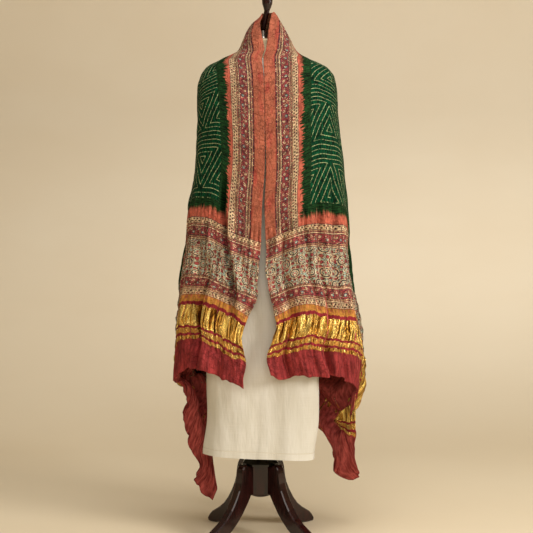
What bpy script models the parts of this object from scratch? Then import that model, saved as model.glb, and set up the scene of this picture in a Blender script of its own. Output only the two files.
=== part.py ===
"""A bandhani cloth draped like a cape over a dress form in a plain shift, on a turned wooden stand.

Metres, +Z up. The floor is z = 0, the pole stands on x = y = 0 and the front of the cloth faces -Y.
The cloth is described in its own flat measures: s runs along its length from the nape, t across its
width from the edge at the neck to the edge at the back.
"""

import math

import bmesh
import bpy
import numpy as np

# ---- the cloth
HALF_LENGTH = 1.18
WIDTH = 0.86
THICKNESS = 0.0024
FRONT_WIDTH = 0.26
ROWS_PER_HALF = 40
ROW_CROWDING = 1.25
ACROSS_STEPS = (
    0, 0.016, 0.032, 0.048, 0.062, 0.076, 0.090, 0.103, 0.116, 0.128, 0.140, 0.152, 0.164, 0.177, 0.190,
    0.203, 0.217, 0.232, 0.250, 0.275, 0.308, 0.350, 0.400, 0.455, 0.515, 0.575, 0.635, 0.695, 0.750,
    0.805, 0.86,
)

# ---- the shift
SHIFT_THICKNESS = 0.0022
SHIFT_HEM = 0.237
HEM_SLOPE = 0.07
SHIFT_NECKLINE = 1.372
SHIFT_EASE = 0.0035
SHOULDER_CONTACT = 0.0005
YOKE = 1.27
SHOULDER_DROP = 0.0093
SHOULDER_GAP = 0.0056
BODY_COLUMNS = 28

# ---- the dress form
FORM_BOTTOM = 0.585
NECK_TOP = 1.430
NECK_RADIUS = 0.043

# ---- the stand
POLE_RADIUS = 0.0165
JOINT = 0.0003
HUB_BOTTOM = 0.122
HUB_TOP = 0.205
HUB_FACE = 0.021
HUB_APOTHEM = 0.040
COLLAR_TOP = 0.236
LEG_WIDTH = 0.026
LEG_EDGE = 0.003
LEG_ANGLES = {"leg_front_right": -45, "leg_back_right": 45, "leg_back_left": 135, "leg_front_left": 225}

# Reach of the hanging cloth at each height: the two sides in X, the front and the back in Y.
CAPE = {
    "height": (0.00, 0.10, 0.17, 0.25, 0.33, 0.40, 0.425, 0.446, 0.50, 0.56, 0.62, 0.69, 0.76, 0.85, 0.945,
               1.06, 1.20, 1.29, 1.325, 1.350, 1.375, 1.400, 1.440, 1.475, 1.498, 1.515),
    "left": (-0.200, -0.205, -0.220, -0.228, -0.229, -0.222, -0.225, -0.250, -0.247, -0.243, -0.238, -0.233,
             -0.226, -0.213, -0.207, -0.189, -0.182, -0.181, -0.174, -0.156, -0.110, -0.063, -0.047, -0.026,
             -0.002, 0.006),
    "right": (0.292, 0.288, 0.276, 0.272, 0.272, 0.284, 0.291, 0.295, 0.295, 0.288, 0.280, 0.266, 0.255,
              0.251, 0.248, 0.240, 0.225, 0.219, 0.212, 0.192, 0.142, 0.105, 0.082, 0.063, 0.048, 0.034),
    "front": (0.165, 0.165, 0.165, 0.165, 0.165, 0.163, 0.163, 0.162, 0.160, 0.156, 0.151, 0.145, 0.140,
              0.134, 0.131, 0.128, 0.121, 0.108, 0.099, 0.089, 0.078, 0.068, 0.056, 0.042, 0.033, 0.024),
    "back": (0.205, 0.205, 0.204, 0.202, 0.198, 0.194, 0.192, 0.190, 0.186, 0.182, 0.178, 0.172, 0.166,
             0.160, 0.152, 0.142, 0.132, 0.120, 0.111, 0.102, 0.092, 0.082, 0.070, 0.058, 0.049, 0.040),
}
CAPE_FULLNESS = 0.045

# Each section runs across the cloth at one distance s from the nape: how far round the figure its two
# edges lie, from 0 degrees at the front to 180 at the back, and its height at seven places on the way.
SECTIONS = {
    "left": {
        "s": (0, 0.05, 0.10, 0.16, 0.214, 0.314, 0.465, 0.615, 0.765, 0.911, 0.996, 1.057, 1.118, 1.18),
        "edge_turn": (180, 112, 44, 13.5, 6.4, 2.8, 3.3, 4.2, 4.4, 5.4, 13, 16, 14.2, 14.1),
        "back_turn": (180, 172, 166, 160, 156, 150, 146, 145, 146, 147, 145, 141, 138, 137),
        "edge": (1.512, 1.508, 1.495, 1.440, 1.390, 1.295, 1.145, 0.995, 0.849, 0.716, 0.638, 0.580, 0.522,
                 0.459),
        "panel": (1.458, 1.476, 1.480, 1.433, 1.388, 1.308, 1.172, 1.026, 0.876, 0.745, 0.670, 0.603, 0.535,
                  0.467),
        "breast": (1.400, 1.440, 1.458, 1.418, 1.378, 1.312, 1.195, 1.065, 0.918, 0.775, 0.697, 0.637, 0.577,
                   0.494),
        "side": (1.200, 1.270, 1.335, 1.315, 1.288, 1.232, 1.140, 1.020, 0.886, 0.750, 0.660, 0.600, 0.535,
                 0.444),
        "blade": (0.980, 1.015, 1.045, 1.035, 1.010, 0.950, 0.860, 0.766, 0.664, 0.563, 0.505, 0.462, 0.412,
                  0.335),
        "corner": (0.830, 0.850, 0.865, 0.855, 0.835, 0.785, 0.710, 0.633, 0.548, 0.458, 0.400, 0.342, 0.270,
                   0.145),
        "back": (0.625, 0.622, 0.615, 0.603, 0.590, 0.565, 0.520, 0.470, 0.415, 0.340, 0.285, 0.228, 0.160,
                 0.058),
    },
    "right": {
        "s": (0, 0.05, 0.10, 0.16, 0.214, 0.314, 0.465, 0.615, 0.765, 0.911, 0.996, 1.057, 1.118, 1.18),
        "edge_turn": (180, 98, 22, 4.4, -2.8, -2.0, -2.3, -2.3, -0.6, 2.1, 5.4, 3.0, -1.0, 2.0),
        "back_turn": (180, 172, 166, 160, 156, 151, 148, 148, 149, 151, 152, 152, 150, 148),
        "edge": (1.512, 1.510, 1.500, 1.440, 1.390, 1.295, 1.145, 0.997, 0.855, 0.719, 0.640, 0.585, 0.529,
                 0.473),
        "panel": (1.458, 1.478, 1.486, 1.436, 1.391, 1.311, 1.174, 1.033, 0.895, 0.753, 0.671, 0.613, 0.553,
                  0.486),
        "breast": (1.400, 1.445, 1.468, 1.425, 1.382, 1.318, 1.195, 1.052, 0.897, 0.745, 0.655, 0.597, 0.540,
                   0.474),
        "side": (1.200, 1.275, 1.345, 1.322, 1.296, 1.238, 1.135, 1.005, 0.863, 0.718, 0.620, 0.556, 0.488,
                 0.393),
        "blade": (0.980, 1.015, 1.045, 1.035, 1.010, 0.945, 0.845, 0.735, 0.615, 0.490, 0.415, 0.355, 0.285,
                  0.176),
        "corner": (0.830, 0.850, 0.865, 0.855, 0.835, 0.785, 0.705, 0.620, 0.525, 0.420, 0.350, 0.290, 0.218,
                   0.119),
        "back": (0.625, 0.622, 0.615, 0.605, 0.595, 0.575, 0.545, 0.512, 0.475, 0.433, 0.408, 0.386, 0.355,
                 0.292),
    },
}
# How far round the places between the edges settle, how fast with s, and how they leave the nape.
TURNS = {
    "panel": {"settled": 24, "distance": 0.07, "power": 2},
    "breast": {"settled": 47, "distance": 0.07, "power": 2},
    "side": {"settled": 88, "distance": 0.07, "power": 1},
    "blade": {"settled": 109, "distance": 0.20, "power": 1},
    "corner": {"settled": 125, "distance": 0.26, "power": 1},
}

# Folds down the front: place t and depth (inwards is positive) at each s, and the width.
FOLDS = {
    "left": (
        {"s": (0.62, 0.74, 0.90, 0.98, 1.03), "t": (0.125, 0.118, 0.080, 0.056, 0.042),
         "depth": (0, 0.024, 0.027, 0.020, 0), "width": 0.015},
        {"s": (0.60, 0.80, 1.00, 1.18), "t": (0.165, 0.155, 0.122, 0.122),
         "depth": (0, -0.006, -0.010, -0.012), "width": 0.022},
        {"s": (0.90, 1.02, 1.10, 1.18), "t": (0.152, 0.150, 0.152, 0.156),
         "depth": (0, 0.018, 0.028, 0.030), "width": 0.013},
        {"s": (0.50, 0.80, 1.00, 1.18), "t": (0.212, 0.215, 0.215, 0.220),
         "depth": (0, -0.006, -0.010, -0.010), "width": 0.028},
    ),
    "right": (
        {"s": (0.70, 0.85, 1.00, 1.18), "t": (0.060, 0.052, 0.048, 0.050),
         "depth": (0, 0.011, 0.014, 0.012), "width": 0.016},
        {"s": (0.60, 0.85, 1.18), "t": (0.098, 0.096, 0.100), "depth": (0, -0.006, -0.008), "width": 0.020},
        {"s": (0.66, 0.78, 1.00, 1.18), "t": (0.118, 0.120, 0.128, 0.130),
         "depth": (0, 0.007, 0.004, 0.004), "width": 0.010},
        {"s": (0.66, 0.78, 0.95, 1.10, 1.18), "t": (0.158, 0.160, 0.163, 0.168, 0.172),
         "depth": (0, 0.011, 0.009, 0.013, 0.019), "width": 0.012},
        {"s": (0.55, 0.85, 1.18), "t": (0.185, 0.188, 0.200), "depth": (0, -0.008, -0.009), "width": 0.016},
        {"s": (0.62, 0.76, 0.95, 1.18), "t": (0.212, 0.216, 0.226, 0.236),
         "depth": (0, 0.015, 0.013, 0.009), "width": 0.014},
    ),
}
SIDE_PLEATS = {
    "left": {"pitch": 0.168, "offset": 0.05, "depth": 0.026},
    "right": {"pitch": 0.172, "offset": 0.02, "depth": 0.026},
}
SWAGS = {"pitch": 0.21, "depth": 0.006, "reach": 0.26, "sag": 2.2}

# The form under the shift, below the yoke: half width, front and back depth and middle at each height.
FIGURE = {
    "height": (0.20, 0.585, 0.60, 0.70, 0.85, 1.00, 1.12, 1.20, YOKE),
    "half": (0.156, 0.156, 0.156, 0.156, 0.146, 0.128, 0.142, 0.160, 0.180),
    "front": (0.104, 0.104, 0.104, 0.104, 0.097, 0.092, 0.104, 0.104, 0.094),
    "back": (0.110, 0.110, 0.110, 0.112, 0.104, 0.092, 0.096, 0.100, 0.104),
    "middle": (0.006, 0.006, 0.006, 0.007, 0.010, 0.014, 0.018, 0.019, 0.0195),
    "fullness": (0.24, 0.24, 0.22, 0.14, 0.08, 0.05, 0.05, 0.05, 0.05),
}

# A leg seen from the side: its outer and inner line, as distance from the pole and height.
LEG = {
    "outer_reach": (0.0440, 0.0545, 0.0660, 0.0770, 0.0845, 0.0890, 0.0945, 0.1175, 0.1475, 0.1780, 0.2020,
                    0.2150),
    "outer_height": (0.2040, 0.2035, 0.2120, 0.2090, 0.1950, 0.1720, 0.1456, 0.1020, 0.0646, 0.0440, 0.0290,
                     0.0120),
    "inner_reach": (0.0440, 0.0455, 0.0480, 0.0515, 0.0560, 0.0620, 0.0700, 0.0890, 0.1240, 0.1580, 0.1870,
                    0.2110),
    "inner_height": (0.1250, 0.1235, 0.1210, 0.1165, 0.1090, 0.0995, 0.0880, 0.0620, 0.0290, 0.0080, 0.0,
                     0.0),
}

# Turned pieces on the neck: radius and height of each ring, with the lean of the stem.
FERRULE = ((0.0098, 1.4303), (0.0098, 1.436), (0.0078, 1.439), (0.0078, 1.4565))
FINIAL = (
    (0.0050, 1.4568, 0.000), (0.0066, 1.462, 0.001), (0.0072, 1.480, 0.004), (0.0078, 1.500, 0.008),
    (0.0080, 1.514, 0.011), (0.0112, 1.523, 0.012), (0.0146, 1.533, 0.012), (0.0158, 1.546, 0.012),
    (0.0150, 1.558, 0.012), (0.0116, 1.569, 0.012), (0.0060, 1.576, 0.012), (0.0018, 1.578, 0.012),
)
NECK_X = 0.0075


# ---- curves through the tables

def monotone(xs, ys, x):
    """A smooth curve through the points of a table that never swings past them."""
    xs, ys, x = (np.asarray(v, float) for v in (xs, ys, x))
    step = np.diff(xs)
    rise = np.diff(ys) / step
    slope = np.zeros_like(ys)
    same = rise[:-1] * rise[1:] > 0
    mean = 2 * rise[:-1] * rise[1:] / np.where(same, rise[:-1] + rise[1:], 1)
    slope[1:-1] = np.where(same, mean, 0)
    slope[0], slope[-1] = rise[0], rise[-1]
    i = np.clip(np.searchsorted(xs, x, side="right") - 1, 0, len(step) - 1)
    u = np.clip((x - xs[i]) / step[i], 0, 1)
    return (
        ys[i] * (1 + 2 * u) * (1 - u) ** 2 + slope[i] * step[i] * u * (1 - u) ** 2
        + ys[i + 1] * u * u * (3 - 2 * u) - slope[i + 1] * step[i] * u * u * (1 - u)
    )


def eased(x, start, end):
    """0 before start, 1 after end, and a soft rise between them."""
    u = np.clip((x - start) / (end - start), 0, 1)
    return u * u * (3 - 2 * u)


def around(turn, side, left, right, front, back, fullness):
    """A point on a rounded section: turn 0 is the front, 90 the named side and 180 the back."""
    angle = np.radians(turn)
    round_out = 1 + fullness * np.sin(2 * angle) ** 2
    middle, half = (left + right) / 2, (right - left) / 2
    x = middle + side * half * np.sin(angle) * round_out
    depth = np.where(np.cos(angle) > 0, front, back)
    return x, -depth * np.cos(angle) * round_out


# ---- the draped cloth

def cape_point(turn, height, side):
    reach = [monotone(CAPE["height"], CAPE[name], height) for name in ("left", "right", "front", "back")]
    x, y = around(turn, side, *reach, CAPE_FULLNESS)
    return np.stack([x, y, height], axis=-1)


def section_line(side_name, s):
    """The seven places of the section at s: angles and heights."""
    table = SECTIONS[side_name]
    mirrored_s = (-table["s"][1],) + table["s"]
    turns, heights = [], []
    for place in ("edge", "panel", "breast", "side", "blade", "corner", "back"):
        values = (table[place][1],) + table[place]
        heights.append(monotone(mirrored_s, values, s))
        if place in TURNS:
            turn = TURNS[place]
            fade = math.exp(-((s / turn["distance"]) ** turn["power"]))
            turns.append(turn["settled"] + (180 - turn["settled"]) * fade)
        else:
            turns.append(monotone(table["s"], table[place + "_turn"], s))
    return np.array(turns, float), np.array(heights, float)


def through(values, u):
    """A smooth curve through equally spaced values."""
    padded = np.concatenate([[2 * values[0] - values[1]], values, [2 * values[-1] - values[-2]]])
    i = np.clip(u.astype(int), 0, len(values) - 2)
    f = u - i
    a, b, c, d = (padded[i + k] for k in range(4))
    return b + 0.5 * f * (c - a + f * (2 * a - 5 * b + 4 * c - d + f * (3 * (b - c) + d - a)))


def section_points(side_name, s, ts):
    """Points of the smooth cloth at s, spaced so that the front keeps its true width."""
    side = -1 if side_name == "left" else 1
    turns, heights = section_line(side_name, s)
    u = np.linspace(0, len(turns) - 1, 481)
    line = cape_point(through(turns, u), through(heights, u), side)
    run = np.concatenate([[0], np.cumsum(np.linalg.norm(np.diff(line, axis=0), axis=1))])
    beyond = (run[-1] - FRONT_WIDTH) / (WIDTH - FRONT_WIDTH)
    at = np.where(ts < FRONT_WIDTH, ts, FRONT_WIDTH + (ts - FRONT_WIDTH) * beyond)
    return np.stack([np.interp(at, run, line[:, k]) for k in range(3)], axis=-1)


def fold_depth(side_name, s, t):
    """How far the folds move the cloth outwards at s, t."""
    out = np.zeros(np.broadcast(s, t).shape)
    for fold in FOLDS[side_name]:
        place, depth = (monotone(fold["s"], fold[name], s) for name in ("t", "depth"))
        out -= depth * np.exp(-(((t - place) / fold["width"]) ** 2))
    pleats = SIDE_PLEATS[side_name]
    wave = np.cos(2 * np.pi * (s - pleats["offset"]) / pleats["pitch"] + 1.2 * t)
    out += pleats["depth"] * wave * eased(t, 0.28, 0.62) * eased(s, 0.12, 0.42)
    swag = np.cos(2 * np.pi * (t + SWAGS["sag"] * s * s) / SWAGS["pitch"])
    window = (1 - eased(s, 0.5 * SWAGS["reach"], SWAGS["reach"])) * eased(t, 0.16, 0.34)
    return out + SWAGS["depth"] * swag * window


def grid_normals(points):
    along = np.gradient(points, axis=0)
    across = np.gradient(points, axis=1)
    normal = np.cross(across, along)
    return normal / np.maximum(np.linalg.norm(normal, axis=-1, keepdims=True), 1e-9)


def cloth_grid():
    """Middle surface of the cloth: rows from the left end over the nape to the right end."""
    even = np.linspace(0, 1, ROWS_PER_HALF + 1)
    s_half = HALF_LENGTH * even ** ROW_CROWDING
    ts = np.array(ACROSS_STEPS, float)
    halves = {}
    depths = {}
    for name in ("left", "right"):
        halves[name] = np.array([section_points(name, s, ts) for s in s_half])
        depths[name] = fold_depth(name, s_half[:, None], ts[None, :])
    points = np.concatenate([halves["left"][:0:-1], halves["right"]])
    depth = np.concatenate([depths["left"][:0:-1], depths["right"]])
    outward = grid_normals(points)
    centre_line = points - np.array([0.015, 0.0, 0.0])
    flip = np.sign((outward[..., :2] * centre_line[..., :2]).sum(-1).mean())
    return points + flip * outward * depth[..., None], flip


def sheet_mesh(points, thickness, flip):
    """A closed sheet with two faces and a rim from a grid of middle points."""
    rows, columns = points.shape[:2]
    shift = flip * grid_normals(points) * thickness / 2
    verts = np.concatenate([(points + shift).reshape(-1, 3), (points - shift).reshape(-1, 3)])
    count = rows * columns
    faces = []
    for i in range(rows - 1):
        for j in range(columns - 1):
            a, b = i * columns + j, i * columns + j + 1
            c, d = b + columns, a + columns
            faces.append((a, b, c, d))
            faces.append((d + count, c + count, b + count, a + count))
    rim = [i * columns for i in range(rows)]
    rim += [(rows - 1) * columns + j for j in range(1, columns)]
    rim += [i * columns + columns - 1 for i in range(rows - 2, -1, -1)]
    rim += [j for j in range(columns - 2, 0, -1)]
    for a, b in zip(rim, rim[1:] + rim[:1]):
        faces.append((a, b, b + count, a + count))
    return verts, faces


# ---- the figure: dress form and shift

def figure_section(height):
    """Left, right, front, back and fullness of the shift's outside at a height."""
    value = {name: float(monotone(FIGURE["height"], FIGURE[name], min(height, YOKE)))
             for name in ("half", "front", "back", "middle", "fullness")}
    low = (value["middle"] - value["half"], value["middle"] + value["half"], value["front"], value["back"])
    at = height + SHOULDER_DROP
    high = [float(monotone(CAPE["height"], CAPE[name], at)) for name in ("left", "right", "front", "back")]
    high = (high[0] + SHOULDER_GAP, high[1] - SHOULDER_GAP, high[2] - SHOULDER_GAP, high[3] - SHOULDER_GAP)
    mix = float(eased(height, YOKE - 0.06, YOKE + 0.03))
    return [a + (b - a) * mix for a, b in zip(low, high)] + [value["fullness"]]


def figure_ring(height, inset):
    left, right, front, back, fullness = figure_section(height)
    turns = np.arange(BODY_COLUMNS) * 360 / BODY_COLUMNS
    x, y = around(turns, 1, left + inset, right - inset, front - inset, back - inset, fullness)
    slope = HEM_SLOPE * (1 - eased(height, SHIFT_HEM, FORM_BOTTOM - 0.05))
    return np.stack([x, y, height - slope * x], axis=-1)


def shift_inset(height):
    """Wall of the shift and the room under it, which closes to a touch at the shoulders."""
    ease = SHIFT_EASE + (SHOULDER_CONTACT - SHIFT_EASE) * float(eased(height, 1.24, 1.31))
    return SHIFT_THICKNESS, SHIFT_THICKNESS + ease


def shift_levels():
    below = (SHIFT_HEM, 0.30, 0.38, 0.46, 0.53, FORM_BOTTOM)
    over = (0.64, 0.72, 0.82, 0.92, 1.01, 1.09, 1.16, 1.22, 1.265, 1.295, 1.318, 1.338, 1.355, SHIFT_NECKLINE)
    return below, over


def neck_rings():
    heights = (1.386, 1.398, 1.412, NECK_TOP - 0.004, NECK_TOP)
    radii = (0.052, 0.046, 0.0435, NECK_RADIUS, NECK_RADIUS - 0.004)
    turns = np.radians(np.arange(BODY_COLUMNS) * 360 / BODY_COLUMNS)
    return [np.stack([0.0145 + r * np.sin(turns), -r * np.cos(turns), np.full(BODY_COLUMNS, h)], axis=-1)
            for h, r in zip(heights, radii)]


def form_rings():
    _, over = shift_levels()
    rings = [figure_ring(FORM_BOTTOM, 0.045), figure_ring(FORM_BOTTOM + 0.008, 0.022)]
    rings += [figure_ring(h, shift_inset(h)[1]) for h in over]
    return rings + neck_rings()


# ---- meshes

def new_object(name, verts, faces, material, smooth_angle=35):
    mesh = bpy.data.meshes.new(name)
    mesh.from_pydata([tuple(map(float, v)) for v in verts], [], faces)
    obj = bpy.data.objects.new(name, mesh)
    bpy.context.scene.collection.objects.link(obj)
    work = bmesh.new()
    work.from_mesh(mesh)
    bmesh.ops.triangulate(work, faces=work.faces)
    bmesh.ops.recalc_face_normals(work, faces=work.faces)
    work.to_mesh(mesh)
    work.free()
    mesh.shade_smooth()
    mesh.set_sharp_from_angle(angle=math.radians(smooth_angle))
    mesh.materials.append(material)
    return obj


def stand_on_origin(objects):
    """Parents the pieces to an empty and moves it, so that the middle of the whole stands on the origin."""
    axis = bpy.data.objects.new("pole_axis", None)
    bpy.context.scene.collection.objects.link(axis)
    corners = np.array([v.co for obj in objects for v in obj.data.vertices])
    middle = (corners.min(axis=0) + corners.max(axis=0)) / 2
    for obj in objects:
        obj.parent = axis
    axis.location = (-middle[0], -middle[1], 0.0)


def loft(rings):
    """A closed solid through rings of equal count, capped at both ends."""
    count = len(rings[0])
    verts = np.concatenate(rings)
    faces = []
    for k in range(len(rings) - 1):
        for i in range(count):
            a, b = k * count + i, k * count + (i + 1) % count
            faces.append((a, b, b + count, a + count))
    last = (len(rings) - 1) * count
    faces.append(tuple(range(count))[::-1])
    faces.append(tuple(range(last, last + count)))
    return verts, faces


def tube(outer, inner):
    """An open tube with a wall, from rings of its outside and its inside."""
    count = len(outer[0])
    verts = np.concatenate(outer + inner)
    offset = len(outer) * count
    faces = []
    for base in (0, offset):
        for k in range(len(outer) - 1):
            for i in range(count):
                a, b = base + k * count + i, base + k * count + (i + 1) % count
                face = (a, b, b + count, a + count)
                faces.append(face if base == 0 else face[::-1])
    for k in (0, (len(outer) - 1) * count):
        for i in range(count):
            a, b = k + i, k + (i + 1) % count
            faces.append((a, b, b + offset, a + offset))
    return verts, faces


def turned(profile, sides, centre_x=0.0):
    """Rings of a turned piece: radius and height, and a sideways step where it leans."""
    turns = np.arange(sides) * 2 * math.pi / sides
    rings = []
    for radius, height, *lean in profile:
        x = centre_x + (lean[0] if lean else 0) + radius * np.cos(turns)
        rings.append(np.stack([x, radius * np.sin(turns), np.full(sides, height)], axis=-1))
    return rings


def octagon(face, apothem, height):
    """A ring with four faces towards X and Y and four narrower ones between them."""
    corners = [(apothem, -face), (apothem, face), (face, apothem), (-face, apothem), (-apothem, face),
               (-apothem, -face), (-face, -apothem), (face, -apothem)]
    return np.array([(x, y, height) for x, y in corners])


def leg_rings(angle):
    """A leg as cut from a board: flat sides, softened edges, flat where it stands."""
    places = np.linspace(0, len(LEG["outer_reach"]) - 1, 19)
    line = {name: through(np.array(values, float), places) for name, values in LEG.items()}
    direction = np.array([math.cos(math.radians(angle)), math.sin(math.radians(angle)), 0.0])
    sideways = np.array([-direction[1], direction[0], 0.0])
    up = np.array([0.0, 0.0, 1.0])
    half = LEG_WIDTH / 2
    rings = []
    for i in range(len(places)):
        outer = direction * line["outer_reach"][i] + up * max(line["outer_height"][i], 0.006)
        inner = direction * line["inner_reach"][i] + up * max(line["inner_height"][i], 0.0)
        along = (inner - outer) / np.linalg.norm(inner - outer)
        low_edge = along * LEG_EDGE
        rings.append(np.array([
            outer - sideways * (half - LEG_EDGE), outer + sideways * (half - LEG_EDGE),
            outer + sideways * half + low_edge, inner + sideways * half - low_edge,
            inner + sideways * (half - LEG_EDGE), inner - sideways * (half - LEG_EDGE),
            inner - sideways * half - low_edge, outer - sideways * half + low_edge,
        ]))
    return rings


# ---- materials

def material(name, colour, roughness, metallic=0.0):
    made = bpy.data.materials.new(name)
    made.use_nodes = True
    surface = made.node_tree.nodes["Principled BSDF"]
    surface.inputs["Base Color"].default_value = (*colour, 1.0)
    surface.inputs["Roughness"].default_value = roughness
    surface.inputs["Metallic"].default_value = metallic
    return made


def main():
    for obj in list(bpy.data.objects):
        bpy.data.objects.remove(obj, do_unlink=True)

    silk = material("dyed_silk", (0.03, 0.14, 0.07), 0.6)
    cotton = material("cream_cotton", (0.76, 0.69, 0.48), 0.85)
    linen = material("form_cover", (0.70, 0.62, 0.46), 0.8)
    wood = material("stained_wood", (0.06, 0.02, 0.015), 0.3)
    steel = material("ferrule_metal", (0.6, 0.58, 0.55), 0.35, 1.0)

    points, flip = cloth_grid()
    below, over = shift_levels()
    outer = [figure_ring(h, 0.0) for h in below + over]
    inner = [figure_ring(h, shift_inset(h)[0]) for h in below + over]
    pole = ((POLE_RADIUS, COLLAR_TOP + JOINT), (POLE_RADIUS, FORM_BOTTOM - JOINT))
    collar = [octagon(0.024, 0.050, HUB_TOP + JOINT), octagon(0.0245, 0.0515, HUB_TOP + 0.006),
              octagon(0.0215, 0.044, HUB_TOP + 0.018), octagon(0.019, 0.0385, COLLAR_TOP)]
    hub = [octagon(HUB_FACE, HUB_APOTHEM, HUB_BOTTOM), octagon(HUB_FACE, HUB_APOTHEM, HUB_TOP)]
    boss = ((0.020, HUB_BOTTOM - 0.012), (0.030, HUB_BOTTOM - 0.008), (0.034, HUB_BOTTOM - JOINT))

    pieces = [
        new_object("draped_cloth", *sheet_mesh(points, THICKNESS, flip), silk, 60),
        new_object("cream_shift", *tube(outer, inner), cotton, 60),
        new_object("dress_form", *loft(form_rings()), linen, 50),
        new_object("neck_ferrule", *loft(turned(FERRULE, 16, NECK_X)), steel),
        new_object("neck_finial", *loft(turned(FINIAL, 16, NECK_X)), wood),
        new_object("pole", *loft(turned(pole, 20)), wood),
        new_object("flared_collar", *loft(collar), wood),
        new_object("hub", *loft(hub), wood),
        new_object("hub_boss", *loft(turned(boss, 20)), wood),
    ]
    pieces += [new_object(name, *loft(leg_rings(angle)), wood) for name, angle in LEG_ANGLES.items()]
    stand_on_origin(pieces)


main()
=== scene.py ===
"""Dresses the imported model: a bandhani cloth draped like a cape over a dress form in a cream shift.

The cloth is drawn in its own flat measures, in metres: s runs along its length from the nape (negative on
the left of the picture) and t across its width, from the edge at the neck to the edge at the back.
"""

import functools
import math

import bmesh
import bpy
import numpy as np
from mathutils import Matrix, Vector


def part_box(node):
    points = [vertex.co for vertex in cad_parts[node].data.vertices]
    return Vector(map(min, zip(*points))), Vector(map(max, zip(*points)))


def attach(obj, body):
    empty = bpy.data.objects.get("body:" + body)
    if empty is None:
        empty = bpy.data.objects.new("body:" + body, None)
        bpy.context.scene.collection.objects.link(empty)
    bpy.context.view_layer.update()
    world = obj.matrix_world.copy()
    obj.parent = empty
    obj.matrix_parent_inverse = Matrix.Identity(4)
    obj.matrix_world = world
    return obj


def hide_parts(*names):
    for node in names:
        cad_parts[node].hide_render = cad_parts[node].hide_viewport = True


# ---- the cloth
HALF_LENGTH = 1.18
WIDTH = 0.86
FRONT_WIDTH = 0.26
ROLLED_HEM = 0.0011
ROLL_TURNS = (70, 140, 210, 280)
REVERSE_INSET = 0.0013
MIDDLE_X = 0.015
# How finely the cloth is divided: runs of (start, end, spacing) along s and across t, and the steps of the
# line that each section is measured on.
S_RUNS = ((0, 0.70, 0.0068), (0.70, 0.98, 0.0042), (0.98, HALF_LENGTH, 0.0036))
T_RUNS = ((0, 0.27, 0.0026), (0.27, 0.45, 0.0065), (0.45, WIDTH, 0.0085))
LINE_STEPS = 481
# What sets the two halves apart: their direction, where their seeded unevenness starts, and how far the
# front corner rounds off.
SIDES = {
    "left": {"sign": -1, "relief_seed": 11, "edge_seed": 41, "corner": 0.0},
    "right": {"sign": 1, "relief_seed": 23, "edge_seed": 47, "corner": 0.020},
}

# ---- the shift: its measures, how finely it is divided, and how it hangs below the form
SHIFT_THICKNESS = 0.0022
SHIFT_HEM = 0.237
HEM_SLOPE = 0.045
TURNED_HEM = 0.019
SHIFT_NECKLINE = 1.372
YOKE = 1.27
SHOULDER_DROP = 0.0093
SHOULDER_GAP = 0.0056
YOKE_BLEND = (YOKE - 0.06, YOKE + 0.03)
FORM_BOTTOM = 0.585
SLOPE_ENDS = FORM_BOTTOM - 0.05
SHIFT_RUNS = ((SHIFT_HEM, 0.27, 0.003), (0.27, FORM_BOTTOM, 0.006), (FORM_BOTTOM, SHIFT_NECKLINE, 0.012))
SHIFT_COLUMNS = 168
SHIFT_TURNS = np.arange(SHIFT_COLUMNS) * 360 / SHIFT_COLUMNS
RIPPLES = (
    {"depth": 0.0034, "turn": 17, "height": 0.16, "seed": 5},
    {"depth": 0.0012, "turn": 6, "height": 0.07, "seed": 6},
)
RIPPLES_FADE = (0.42, 0.66)
HEM_HANG = {"middle": 0.006, "below": 0.40, "aside": 0.013, "wave": 0.0045, "turn": 24, "seed": 8}

# ---- the stand
LEGS = ("leg_front_right", "leg_back_right", "leg_back_left", "leg_front_left")

# Reach of the hanging cloth at each height: the two sides in X, the front and the back in Y.
CAPE = {
    "height": (0.00, 0.10, 0.17, 0.25, 0.33, 0.40, 0.425, 0.446, 0.50, 0.56, 0.62, 0.69, 0.76, 0.85, 0.945,
               1.06, 1.20, 1.29, 1.325, 1.350, 1.375, 1.400, 1.440, 1.475, 1.498, 1.515),
    "left": (-0.200, -0.205, -0.220, -0.228, -0.229, -0.222, -0.225, -0.250, -0.247, -0.243, -0.238, -0.233,
             -0.226, -0.213, -0.207, -0.189, -0.182, -0.181, -0.174, -0.156, -0.110, -0.063, -0.047, -0.026,
             -0.002, 0.006),
    "right": (0.292, 0.288, 0.276, 0.272, 0.272, 0.284, 0.291, 0.295, 0.295, 0.288, 0.280, 0.266, 0.255,
              0.251, 0.248, 0.240, 0.225, 0.219, 0.212, 0.192, 0.142, 0.105, 0.082, 0.063, 0.048, 0.034),
    "front": (0.165, 0.165, 0.165, 0.165, 0.165, 0.163, 0.163, 0.162, 0.160, 0.156, 0.151, 0.145, 0.140,
              0.134, 0.131, 0.128, 0.121, 0.108, 0.099, 0.089, 0.078, 0.068, 0.056, 0.042, 0.033, 0.024),
    "back": (0.205, 0.205, 0.204, 0.202, 0.198, 0.194, 0.192, 0.190, 0.186, 0.182, 0.178, 0.172, 0.166,
             0.160, 0.152, 0.142, 0.132, 0.120, 0.111, 0.102, 0.092, 0.082, 0.070, 0.058, 0.049, 0.040),
}
CAPE_FULLNESS = 0.045

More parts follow.
